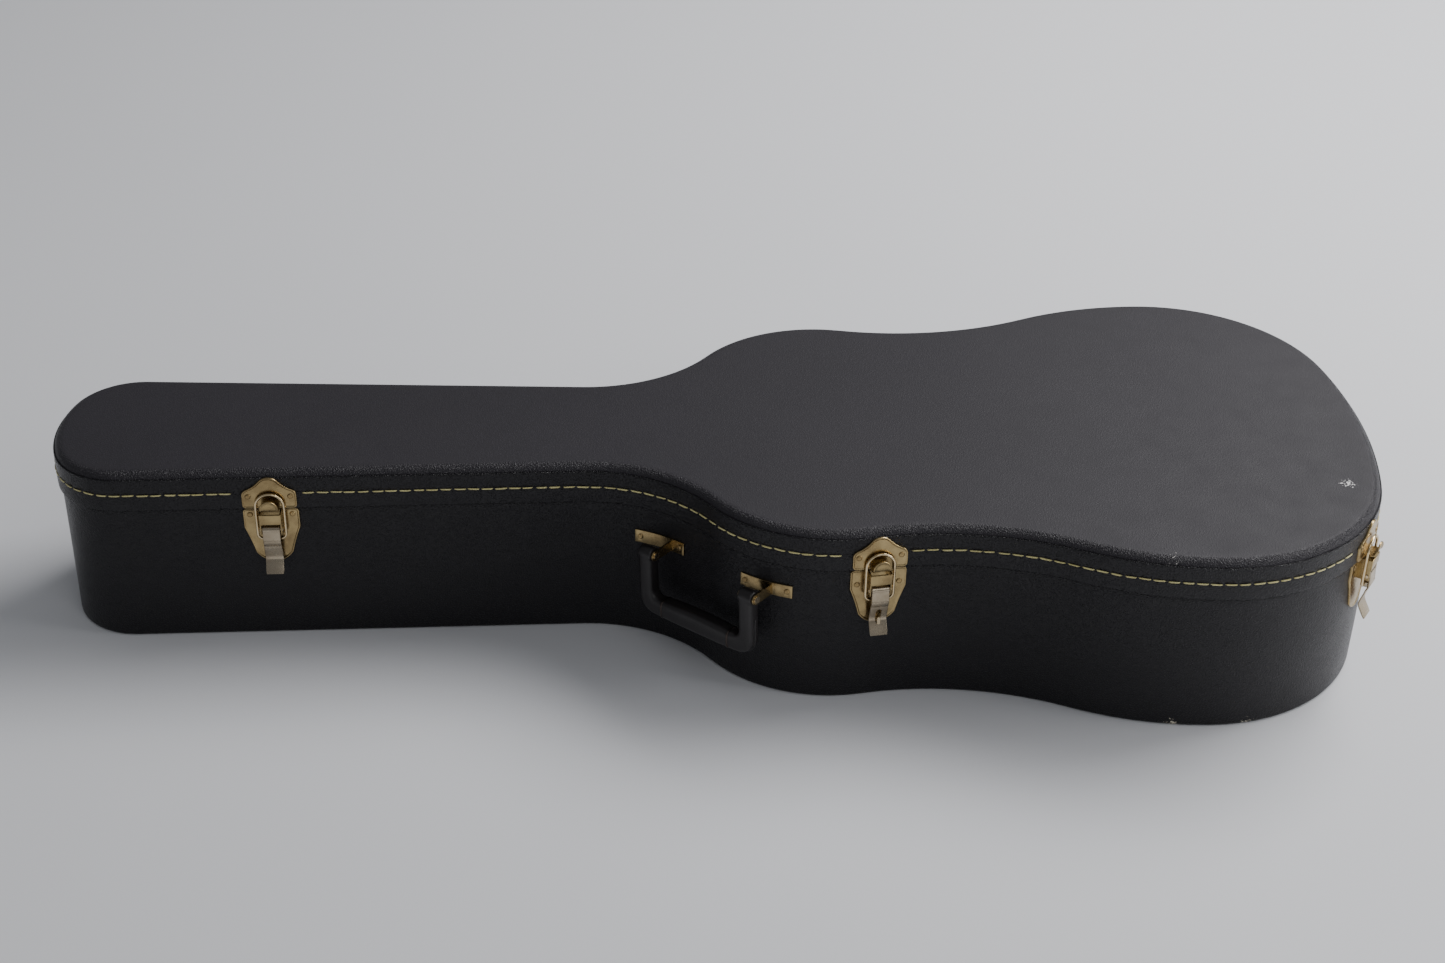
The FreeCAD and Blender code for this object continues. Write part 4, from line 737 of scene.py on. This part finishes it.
class Fitting:
    """Local frame of a latch: x along the wall, y outward, z up."""

    def __init__(self, name):
        joint = JOINTS["lever_%s_pivot" % name]
        self.x = -Vector(joint["axis"]).normalized()
        self.out = Vector((self.x.y, -self.x.x, 0)).normalized()
        self.x = Vector((-self.out.y, self.out.x, 0))
        self.origin = Vector((*joint["pos_m"][:2], 0)) - self.out * PIVOT_OUT
        local = (LOOP - np.array(self.origin[:2])) @ np.array(self.x[:2])
        depth = (LOOP - np.array(self.origin[:2])) @ np.array(self.out[:2])
        near = (np.abs(local) < 0.045) & (depth > -0.05)
        order = np.argsort(local[near])
        self.wall_x, self.wall_y = local[near][order], depth[near][order]

    def wall(self, x):
        """Outward distance of the band's face at a local x."""
        return float(np.interp(x, self.wall_x, self.wall_y))

    def point(self, x, out, z):
        """A point given straight out from the fitting's middle plane."""
        p = self.origin + self.x * x + self.out * out
        return Vector((p.x, p.y, z))

    def on_wall(self, x, out, z):
        """A point given out from the curved wall."""
        return self.point(x, self.wall(x) + out, z)

    def matrix(self, x, out, z):
        """Matrix of a block centred at a local point: its y is outward."""
        m = Matrix((self.x, self.out, Vector((0, 0, 1)))).transposed().to_4x4()
        m.translation = self.point(x, out, z)
        return m


def closed_outline(low, high, half, from_low, from_high):
    """Closed plate outline from its right half, bottom middle to top middle.

    Each point is (inset from the side, rise from the bottom or the top) in
    millimetres, and a pair of points is an arc through the first to the second.
    """
    def place(step, z):
        return half - step[0] * MM, z + step[1] * MM
    pts = [(0.0, low)]
    for z, steps in ((low, from_low), (high, from_high)):
        for step in steps:
            if isinstance(step[0], tuple):
                pts += through(pts[-1], place(step[0], z), place(step[1], z), 8)
            else:
                pts.append(place(step, z))
    return pts + [(-x, z) for x, z in pts[::-1] if x > TINY]


RIM_RINGS = [(0.0, 0.5), (0.0, 1.25), (0.12, 1.55), (0.4, 1.78), (0.8, 1.82), (1.2, 1.62), (1.5, 1.36),
             (1.9, 1.22), (2.4, 1.2)]
CATCH_SHAPE = ([(3.0, 0.0), ((0.9, 0.9), (0.0, 3.0)), (0.0, 12.0), ((1.3, 15.6), (4.6, 17.8))],
               [((10.4, -7.0), (14.5, -3.0)), ((18.0, -0.7), (22.0, 0.0))])
STRIKE_SHAPE = ([((13.6, 2.9), (7.6, 9.0)), ((5.6, 16.5), (3.2, 24.5)), (0.7, 31.5),
                 ((0.1, 33.2), (0.0, 35.0))],
                [(0.0, -3.0), ((0.9, -0.9), (3.0, 0.0)), (22.6, 0.0)])
TONGUE_RINGS = [(0.0, 0.1), (0.12, 0.5), (0.4, 0.72), (0.8, 0.74), (1.3, 0.45), (1.9, 0.15)]


def wall_plate(name, fitting, outline, seat):
    """Pressed plate on the curved wall, with a skirt down to the wall."""
    rings = [(inset * MM + i * 1e-7, height * MM) for i, (inset, height) in enumerate(RIM_RINGS)]
    coords, height, faces = plate_mesh(outline, rings, PLATE_GAP)
    verts = [fitting.on_wall(x, seat + h, z) for (x, z), h in zip(coords, height)]
    low = [i for i in range(len(coords)) if abs(height[i] - rings[0][1]) < TINY]
    loop, base = order_loop(coords, low, outline), len(verts)
    verts += [fitting.on_wall(coords[i][0], seat, coords[i][1]) for i in loop]
    for k in range(len(loop)):
        q = (k + 1) % len(loop)
        faces.append((loop[k], loop[q], base + q, base + k))
    return solid(name, verts, faces)


def order_loop(coords, indices, outline):
    """Boundary vertices in order round the outline's middle polygon."""
    out = []
    for p in even(outline, PLATE_GAP):
        d = [(coords[i][0] - p[0]) ** 2 + (coords[i][1] - p[1]) ** 2 for i in indices]
        i = indices[int(np.argmin(d))]
        if not out or out[-1] != i:
            out.append(i)
    if out[0] == out[-1]:
        out.pop()
    return out


def strap_path(points, smooth):
    """Corner-cut path through a list of points, its ends kept."""
    p = [Vector(q) for q in points]
    for _ in range(smooth):
        out = [p[0]]
        for a, b in zip(p, p[1:]):
            out += [a.lerp(b, 0.25), a.lerp(b, 0.75)]
        out.append(p[-1])
        p = out
    return p


def strap(name, fitting, path, half_width, thickness):
    """Sheet-metal strap along an (out, z) path, its long edges rounded."""
    r = thickness / 2
    section = [(side, r * math.cos(a), r * math.sin(a)) for side, start in ((1, -90), (-1, 90))
               for a in np.radians(np.linspace(start, start + 180, 7))]
    verts = []
    total = sum((b - a).length for a, b in zip(path, path[1:]))
    run = 0.0
    for i, p in enumerate(path):
        if i:
            run += (p - path[i - 1]).length
        d = (path[min(i + 1, len(path) - 1)] - path[max(i - 1, 0)]).normalized()
        w = half_width(run / total) - r
        for side, dx, dn in section:
            verts.append(fitting.point(side * w + dx, p.x - d.y * dn, p.y + d.x * dn))
    return solid(name, verts, ring_faces(len(path), len(section), True, True), crisp=60)


def rivet_head(place, axis, sunk):
    """Rivet head slightly dished in its middle, its foot sunk below its seat."""
    profile = [(RIVET_RADIUS, -sunk), (RIVET_RADIUS, RIVET_STEP)]
    profile += [(RIVET_RADIUS * a, RIVET_PROUD * b) for a, b in RIVET_DOME]
    return lathe("rivet", profile, place, axis)


def latch(name):
    f = Fitting(name)
    pivot_z = JOINTS["lever_%s_pivot" % name]["pos_m"][2]
    bar_z = JOINTS["bail_%s_pivot" % name]["pos_m"][2]
    low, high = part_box("catch_plate_" + name)
    s_low, s_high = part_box("strike_plate_" + name)

    # lid side: catch plate with its leaning tongue
    plate = wall_plate("catch_sheet", f, closed_outline(low[2], high[2], CATCH_HALF, *CATCH_SHAPE), 0.0)
    tip = high_of_loop(name) - WIRE - LOOP_CLEAR
    tongue = tongue_piece(f, low[2] + 0.6 * MM, tip)
    finish_piece(merge("catch_" + name, [plate, tongue]), "lid", "brass", "brass_plate",
                 "catch_plate_" + name)

    # base side: strike plate, two cheeks and the bridge
    outline = closed_outline(s_low[2], s_high[2], STRIKE_HALF, *STRIKE_SHAPE)
    sheet = wall_plate("strike_sheet", f, outline, -OVERHANG)
    top = s_high[2] - 0.3 * MM
    front = PIVOT_OUT + 3.3 * MM
    back = -OVERHANG + PLATE * 0.5
    parts = [sheet]
    for side in (-1, 1):
        parts.append(block("cheek", f, side * (CHEEK_IN + SHEET / 2), SHEET, (back, front - 0.7 * MM),
                           (pivot_z - 4.2 * MM, top), 0.5 * MM))
    parts.append(block("bridge", f, 0, 2 * (CHEEK_IN + SHEET), (front - 1.6 * MM, front),
                       (pivot_z + 5.8 * MM, top), 0.55 * MM))
    finish_piece(merge("strike_" + name, parts), "base", "brass", "brass_plate",
                 "strike_plate_" + name)

    # pin through the cheeks
    ends = CHEEK_IN + SHEET
    head = rising(0.0, (1.9, 0.0), (1.9, 0.35), (1.5, 0.65), (0.7, 0.8))
    pin = [lathe("pin_head", head, f.point(side * ends, PIVOT_OUT, pivot_z), f.x * side) for side in (-1, 1)]
    pin.append(lathe("pin_shaft", [(1.5 * MM, -ends), (1.5 * MM, ends)], f.point(0, PIVOT_OUT, pivot_z), f.x))
    finish_piece(merge("pin_" + name, pin), "base", "steel", "pin_steel", "lever_pin_" + name)

    lever_piece(name, f, pivot_z, bar_z)
    loop_piece(name, f, bar_z)


def high_of_loop(name):
    """Height of the centre of the wire's round top."""
    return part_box("bail_" + name)[1][2] - WIRE


def tongue_piece(f, z0, tip):
    """D-shaped tongue: a shelf out of the plate, bent up into a dished round face."""
    w = TONGUE_HALF
    far = PLATE + 8.6 * MM
    corners = [Vector((0.9 * MM, z0)), Vector((far - 2.0 * MM, z0 + 0.2 * MM)), Vector((far, z0 + 2.6 * MM)),
               Vector((far + 0.2 * MM, tip))]
    path = strap_path(corners, 4)
    run = [0.0]
    for a, b in zip(path, path[1:]):
        run.append(run[-1] + (b - a).length)
    slant = run[-1]
    tip_arc = through((w, slant - w), (0.0, slant), (-w, slant - w), 16)
    outline = [(w, 0.0), (w, slant - w), *tip_arc, (-w, 0.0)]
    coords, height, faces = plate_mesh(outline, [(a * MM, b * MM) for a, b in TONGUE_RINGS], TONGUE_GAP)

    def place(x, along, h):
        along = min(max(along, 0.0), slant)
        i = min(int(np.searchsorted(run, along, side="right")) - 1, len(path) - 2)
        k = (along - run[i]) / (run[i + 1] - run[i])
        p = path[i].lerp(path[i + 1], k)
        d = (path[i + 1] - path[i]).normalized()
        return f.point(x, p.x + h * d.y, p.y - h * d.x)
    verts = [place(x, a, h) for (x, a), h in zip(coords, height)]
    base = len(verts)
    verts += [place(x, a, -TONGUE_SHEET) for x, a in coords]
    edges = {}
    for tri in faces:
        for a, b in zip(tri, tri[1:] + tri[:1]):
            edges.setdefault((min(a, b), max(a, b)), []).append((a, b))
    faces += [tuple(base + i for i in tri[::-1]) for tri in faces]
    for (a, b), uses in edges.items():
        if len(uses) == 1:
            faces.append((a, b, base + b, base + a))
    return solid("tongue", verts, faces, crisp=55)


def lever_piece(name, f, pivot_z, bar_z):
    """Strap lever: rolled round its pin, stepped below the loop's bar, tip turned out."""
    out = PIVOT_OUT + 3.2 * MM - SHEET / 2
    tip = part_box("lever_" + name)[0][2] + 0.3 * MM
    m = MM
    path = rising(pivot_z, (-0.5, 1.0), (0.0, -1.5))
    path += rising(bar_z, (0.5, 1.0), (0.4, -2.2), (-1.4, -5.6), (-1.6, -7.5))
    path += rising(tip, (-4.3, 15.5), (-4.7, 12.2), (-3.6, 9.0), (1.6, 0.0))
    path = [(out + x, z) for x, z in path]

    def half(share):
        return (7.0 + 0.35 * min(1.0, share * 1.6) - 0.45 * max(0.0, share - 0.93) / 0.07) * MM
    body = strap("lever_strap", f, strap_path(path, 3), half, SHEET)
    if name == "waist":
        post_z = JOINTS["lock_turn"]["pos_m"][2]
        cut_away(body, slot_cutter(f, post_z - 1.7 * m, post_z + 8.5 * m, 2.2 * m))
    barrel = rising(0.0, (2.7, -7.2), (3.2, -6.8), (3.2, 6.8), (2.7, 7.2))
    roll = rising(0.0, (0.9, -7.0), (1.2, -6.7), (1.2, 6.7), (0.9, 7.0))
    parts = [body, lathe("barrel", barrel, f.point(0, PIVOT_OUT, pivot_z), f.x),
             block("lug", f, 0, 12.4 * m, (out - 4.9 * m, out - 0.3 * m),
                   (bar_z - 2.4 * m, bar_z + 2.4 * m), 0.7 * m),
             lathe("roll", roll, f.point(0, out + 0.1 * m, bar_z + 0.2 * m), f.x)]
    obj = merge("lever_" + name + "_strap", parts)
    finish_piece(obj, "lever_" + name, "nickel", "lever_nickel", "lever_" + name)


def slot_cutter(f, low, high, radius):
    """Round-ended block that stands through the lever where its slot is."""
    ring = arc(0.0, low, radius, -180, 0, 11) + arc(0.0, high, radius, 0, 180, 11)
    verts = [f.point(x, y, z) for y in (-5 * MM, 20 * MM) for x, z in ring]
    return solid("slot_cutter", verts, ring_faces(2, len(ring), True, True), smooth=False)


def cut_away(obj, cutter):
    """Takes a cutter's volume out of a mesh and removes the cutter."""
    modifier(obj, "BOOLEAN", operation="DIFFERENCE", solver="EXACT", object=cutter)
    bake(obj)
    bpy.data.objects.remove(cutter)


def loop_piece(name, f, bar_z):
    """Closed wire loop with a round top."""
    w, c = LOOP_HALF, LOOP_CORNER
    top = high_of_loop(name)
    pts = arc(0, top - w, w, 0, 180, 24)
    pts += [(-w, z) for z in np.linspace(top - w, bar_z + c, 8)[1:-1]]
    pts += arc(-w + c, bar_z + c, c, 180, 270, 7)
    pts += [(x, bar_z) for x in np.linspace(-w + c, w - c, 6)[1:-1]]
    pts += arc(w - c, bar_z + c, c, 270, 360, 7)
    pts += [(w, z) for z in np.linspace(bar_z + c, top - w, 8)[1:-1]]
    obj = tube("loop_" + name, [f.point(x, LOOP_OUT, z) for x, z in pts], WIRE, 16, closed=True)
    finish_piece(obj, "bail_" + name, "wire", "loop_wire", "bail_" + name)


def latch_rivets():
    lid, base = [], []
    for name in LATCHES:
        f = Fitting(name)
        z_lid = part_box("catch_plate_" + name)[0][2] + 11 * MM
        drop = 14.0 if name == "waist" else 6.0
        z_base = (BASE_TOP + BAND_BOTTOM) / 2 - drop * MM
        for x in (-RIVET_SIDE, RIVET_SIDE):
            for heads, seat, z in ((lid, PLATE, z_lid), (base, PLATE - OVERHANG, z_base)):
                heads.append(rivet_head(f.on_wall(x, seat, z), f.out, 0.1 * MM))
    finish_piece(merge("rivets_latch_lid", lid), "lid", "rivet", "rivet_brass", "latch_rivets_lid")
    finish_piece(merge("rivets_latch_base", base), "base", "rivet", "rivet_brass", "latch_rivets_base")


def islands(node):
    """Vertex arrays of a CAD node's separate solids."""
    mesh = frame["nodes"][node].data
    bm = bmesh.new()
    bm.from_mesh(mesh)
    bmesh.ops.remove_doubles(bm, verts=bm.verts, dist=WELD)
    left, out = set(bm.verts), []
    while left:
        stack, group = [left.pop()], []
        while stack:
            v = stack.pop()
            group.append(v.co[:])
            for e in v.link_edges:
                o = e.other_vert(v)
                if o in left:
                    left.remove(o)
                    stack.append(o)
        out.append(np.array(group))
    bm.free()
    return out


def wall_rivets(node, body):
    """Domed heads in place of a node's plain rivets."""
    heads = []
    for co in islands(node):
        mid = (co.min(axis=0) + co.max(axis=0)) / 2
        n = NORMAL[nearest(mid[None, :2])[0]]
        top = np.max((co[:, :2] - mid[:2]) @ n)
        seat = mid[:2] + n * (top - RIVET_PROUD)
        heads.append(rivet_head((*seat, mid[2]), (*n, 0.0), 0.3 * MM))
    finish_piece(merge(node + "_heads", heads), body, "rivet", "rivet_brass", node)


# ---- handle ----------------------------------
LEG, THICK, GRIP_LOW, GRIP_TOP = 52 * MM, 13 * MM, -54 * MM, -38.5 * MM
OUTER_ROUND, INNER_ROUND = 15 * MM, 7 * MM
CROWN, SWELL, FLANGE, COLLAR_IN = 2.0 * MM, 1.3 * MM, 0.75 * MM, 17.5 * MM
SECTION_POWER = 0.56          # below 1, it squares the round section


def handle_frame():
    joint = JOINTS["handle_swing"]
    x = Vector(joint["axis"]).normalized()
    if x.x < 0:
        x = -x
    out = Vector((x.y, -x.x, 0)).normalized()
    up = (Vector((0, 0, 1)) - x * x.z).normalized()
    return Vector(joint["pos_m"]), x, out, up


def grip_stations():
    """Pairs of (outer, inner) points of the handle's side view, head leg to tail leg."""
    half, inset = LEG + THICK / 2, LEG - THICK / 2
    co = (-half + OUTER_ROUND, GRIP_LOW + OUTER_ROUND)
    ci = (-inset + INNER_ROUND, GRIP_TOP + INNER_ROUND)
    left = [((-half, k * co[1]), (-inset, k * ci[1])) for k in np.linspace(0, 1, 7)[:-1]]
    left += zip(arc(*co, OUTER_ROUND, 180, 270, 10), arc(*ci, INNER_ROUND, 180, 270, 10))
    for k in np.linspace(0, 1, 14)[1:7]:
        x_out, x_in = co[0] * (1 - k * 2), ci[0] * (1 - k * 2)
        crown = CROWN * (1 - (x_in / ci[0]) ** 2)
        left.append(((x_out, GRIP_LOW), (x_in, GRIP_TOP + crown)))
    right = [((-o[0], o[1]), (-i[0], i[1])) for o, i in left[::-1]]
    return left + right


def handle_section(place, outer, inner, grow, swell):
    """Rounded section between an outer and an inner point of the side view."""
    origin, x, out, up = place
    mid = ((outer[0] + inner[0]) / 2, (outer[1] + inner[1]) / 2)
    half = (outer[0] - mid[0], outer[1] - mid[1])
    reach = math.hypot(*half)
    k = (reach + grow) / reach
    ring = []
    for a in np.linspace(0, 2 * math.pi, 32, endpoint=False):
        c, d = math.cos(a), math.sin(a)
        u = math.copysign(abs(c) ** SECTION_POWER, c)
        v = math.copysign(abs(d) ** SECTION_POWER, d)
        ring.append(origin + x * (mid[0] + half[0] * k * u) + up * (mid[1] + half[1] * k * u)
                    + out * ((THICK / 2 + grow + swell) * v))
    return ring


def stacked(name, rings):
    verts = [p for ring in rings for p in ring]
    return solid(name, verts, ring_faces(len(rings), len(rings[0]), True, True), crisp=60)


def handle():
    """Moulded handle: rounded legs and grip, a parting flange and two collars."""
    place = handle_frame()
    origin, x, _, up = place
    pairs = grip_stations()
    rings = []
    for o, i in pairs:
        along = max(0.0, 1 - abs(o[0]) / (LEG - 10 * MM))
        rings.append(handle_section(place, o, i, 0.0, SWELL * min(1.0, along * 2.5)))
    parts = [stacked("grip", rings)]
    for s in (-1, 1):
        r, w = THICK / 2, THICK / 2
        profile = [(r - 1.4 * MM, -w), (r - 0.4 * MM, -w + 0.4 * MM), (r, -w + 1.4 * MM), (r, w - 1.4 * MM),
                   (r - 0.4 * MM, w - 0.4 * MM), (r - 1.4 * MM, w)]
        parts.append(lathe("eye", profile, origin + x * (s * LEG), x, 36))
    flange = [origin + x * o[0] * 1.001 + up * (o[1] - 0.15 * MM) for o, _ in pairs[3:-3]]
    parts.append(tube("flange", flange, FLANGE, 8))
    obj = merge("handle_moulding", parts)
    finish_piece(obj, "handle", "handle", "handle_grip", "handle_grip")
    collars = []
    for s in (-1, 1):
        band = []
        for shift, grow in ((-1.0, -0.6), (-0.9, 0.3), (-0.5, 0.5), (0.5, 0.5), (0.9, 0.3), (1.0, -0.6)):
            px = s * (LEG - COLLAR_IN + shift * MM)
            band.append(handle_section(place, (px, GRIP_LOW), (px, GRIP_TOP + 0.3 * MM), grow * MM,
                                       0.5 * MM))
        collars.append(stacked("collar", band))
    obj = merge("handle_collars", collars)
    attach(finish_piece(obj, "handle", "collar", "handle_grip"), "handle")


# ---- linings ---------------------------------
PAD_EDGE = 20 * MM            # width of a flat pad's swept edge
WALL_PAD, WALL_PUFF = 4.4 * MM, 0.6 * MM
LID_PAD, LID_PUFF = 2.6 * MM, 0.35 * MM
SOFT_NODES = (("partition_body", "base", 2.0, 0.8), ("partition_head", "base", 2.0, 0.8),
              ("compartment_shelf", "base", 1.6, 0.8), ("compartment_lid", "compartment_lid", 1.6, 0.8),
              ("neck_cradle", "base", 2.2, 0.9), ("headstock_pad", "base", 2.5, 0.9))


def lining_sweep(name, body, profile, slot, fill, *nodes, cap_first=False, cap_last=False):
    obj = sweep(name, profile, not (cap_first or cap_last), cap_first, cap_last, every=4)
    finish_piece(obj, body, "plush", slot, *nodes)


def padded_ring(box_low, box_high, out, inn, puff):
    """Closed profile of a padded wall: flat against its board, puffed on the other side."""
    tall = box_high - box_low
    r = min(2.2 * MM, abs(out - inn) * 0.45)
    profile = [(out, box_low), (out, box_high - r * 0.4), (out - r * 0.5, box_high)]
    for k in np.linspace(1, 0, 16):
        profile.append((inn - puff * math.sin(math.pi * k) ** 0.5, box_low + r + (tall - 2 * r) * k))
    profile.append(((out + inn) / 2, box_low))
    return profile


def soft_copy(node, body, slot, voxel):
    """Padded form of a node's solid: remeshed, its edges drawn round, slightly uneven."""
    src = frame["nodes"][node]
    obj = link_object(node + "_soft", src.data.copy())
    obj.matrix_world = src.matrix_world
    modifier(obj, "WELD", merge_threshold=WELD)
    modifier(obj, "REMESH", mode="VOXEL", voxel_size=voxel)
    modifier(obj, "SMOOTH", iterations=3, factor=0.6)
    bake(obj)
    shade_smooth(obj.data)
    finish_piece(obj, body, slot, slot, node)


def linings():
    wall_low, wall_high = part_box("lining_wall_front")
    floor_low, floor_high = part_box("lining_floor")
    top_low, top_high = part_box("lid_lining_top")
    side_low, side_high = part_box("lid_lining_wall")
    front = BAND_HIGH[0]
    # the floor pad: a soft edge and a level middle
    edge = floor_high[0] - front
    rise = floor_high[2] - floor_low[2]
    profile = [(edge - PAD_EDGE, floor_low[2]), (edge - 1 * MM, floor_low[2]),
               (edge, floor_low[2] + rise * 0.4),
               (edge - 0.6 * MM, floor_low[2] + rise * 0.8), (edge - 2.2 * MM, floor_high[2]),
               (edge - 9 * MM, floor_high[2]), (edge - PAD_EDGE, floor_high[2])]
    lining_sweep("floor_pad", "base", profile, "plush", 0.5, "lining_floor", cap_first=True, cap_last=True)
    out = max(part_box("lining_wall_front")[1][0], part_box("lining_wall_back")[1][0]) - front
    profile = padded_ring(wall_low[2], wall_high[2], out, out - WALL_PAD, WALL_PUFF)
    lining_sweep("wall_pad", "base", profile, "plush", 0.6, "lining_wall_front", "lining_wall_back")
    edge = top_high[0] - front
    profile = [(edge - PAD_EDGE, top_high[2]), (edge - 0.5 * MM, top_high[2]), (edge, top_high[2] - 1.5 * MM),
               (edge - 0.8 * MM, top_low[2] + 0.6 * MM), (edge - 3 * MM, top_low[2]),
               (edge - PAD_EDGE, top_low[2] + 0.2 * MM)]
    lining_sweep("lid_pad", "lid", profile, "plush", 0.5, "lid_lining_top", cap_first=True, cap_last=True)
    out = side_high[0] - front
    profile = padded_ring(side_low[2], side_high[2], out, out - LID_PAD, LID_PUFF)
    lining_sweep("lid_wall_pad", "lid", profile, "plush", 0.6, "lid_lining_wall")
    for node, body, voxel, fill in SOFT_NODES:
        soft_copy(node, body, "plush", voxel * MM)
    soft_copy("compartment_pull", "compartment_lid", "ribbon", 0.5 * MM)


# ---- stage and camera ------------------------
STAGE_REACH = 9.0
CAMERA_PLACE = (-0.0628, -1.6419, 1.1391)
CAMERA_TURNS = (-2.4, -32.26, 1.02)           # yaw, pitch and roll in degrees
SENSOR, LENS = 36.0, 57.25


def stage():
    """Pale paper laid flat: it fills the main picture, and its far edge shows in low views."""
    verts = [(x * STAGE_REACH, y * STAGE_REACH, 0) for x, y in ((-1, -1), (1, -1), (1, 1), (-1, 1))]
    obj = new_object("stage_paper", verts, [(0, 1, 2, 3)])
    obj.data.materials.append(MATERIALS["stage"])


def area_light(name, place, target, size, power, color):
    data = bpy.data.lights.new(name, "AREA")
    data.shape = "RECTANGLE"
    data.size, data.size_y = size
    data.energy = power
    data.color = color
    obj = link_object(name, data)
    obj.location = place
    obj.rotation_euler = (Vector(target) - Vector(place)).to_track_quat("-Z", "Y").to_euler()


def lights():
    area_light("key_overhead", (1.75, 1.2, 2.3), (0.75, 0.7, 0.0), (2.2, 1.4), 92, (1.0, 0.99, 1.0))
    area_light("side_right", (2.4, -0.4, 1.0), (0.5, 0.0, 0.1), (1.0, 1.3), 18, (1.0, 0.99, 1.0))
    area_light("front_fill", (0.9, -2.3, 2.1), (0.4, 0.0, 0.1), (1.6, 1.0), 9, (0.98, 0.98, 1.0))
    world = bpy.data.worlds.new("studio")
    bpy.context.scene.world = world
    world.use_nodes = True
    background = world.node_tree.nodes["Background"]
    background.inputs["Color"].default_value = (0.93, 0.95, 1.0, 1.0)
    background.inputs["Strength"].default_value = 0.22


def camera():
    data = bpy.data.cameras.new("camera")
    data.sensor_width, data.lens = SENSOR, LENS
    obj = link_object("camera", data)
    bpy.context.scene.camera = obj
    yaw, pitch, roll = (math.radians(a) for a in CAMERA_TURNS)
    forward = Vector((-math.sin(yaw) * math.cos(pitch), math.cos(yaw) * math.cos(pitch), math.sin(pitch)))
    right = Vector((math.cos(yaw), math.sin(yaw), 0.0))
    up = right.cross(forward)
    r2 = right * math.cos(roll) + up * math.sin(roll)
    u2 = up * math.cos(roll) - right * math.sin(roll)
    m = Matrix((r2, u2, -forward)).transposed().to_4x4()
    m.translation = Vector(CAMERA_PLACE)
    obj.matrix_world = m


# ---- CAD nodes with a better finish ----------
def keep_cad(material, *nodes, bevel=0.0):
    for node in nodes:
        obj = frame["nodes"][node]
        obj.data.materials.clear()
        obj.data.materials.append(MATERIALS[material])
        if bevel:
            modifier(obj, "WELD", merge_threshold=WELD)
            modifier(obj, "DECIMATE", decimate_type="DISSOLVE", angle_limit=math.radians(1.0))
            modifier(obj, "BEVEL", width=bevel, segments=2, limit_method="ANGLE",
                     angle_limit=math.radians(35), harden_normals=True)


def main():
    stage()
    lights()
    camera()
    lid_cover()
    band_cover()
    base_cover()
    stitches()
    for name in LATCHES:
        latch(name)
    latch_rivets()
    keep_cad("plywood", "base_floor_panel", "base_rim_front", "base_rim_back", "lid_panel", "lid_rim_front",
             "lid_rim_back")
    keep_cad("lip", "closing_lip_front", "closing_lip_back")
    linings()
    handle()
    keep_cad("brass", "handle_bracket_head", "handle_bracket_tail", bevel=0.25 * MM)
    keep_cad("brass", *["hinge_%s_%s" % (a, b) for a in ("tail", "waist", "head") for b in ("lid", "base")],
             bevel=0.25 * MM)
    wall_rivets("handle_rivets", "base")
    wall_rivets("hinge_rivets_base", "base")
    wall_rivets("hinge_rivets_lid", "lid")
    keep_cad("steel", "hinge_pins", "handle_pins", "compartment_pivots", "lock_post")
    keep_cad("core", "handle_core")


main()
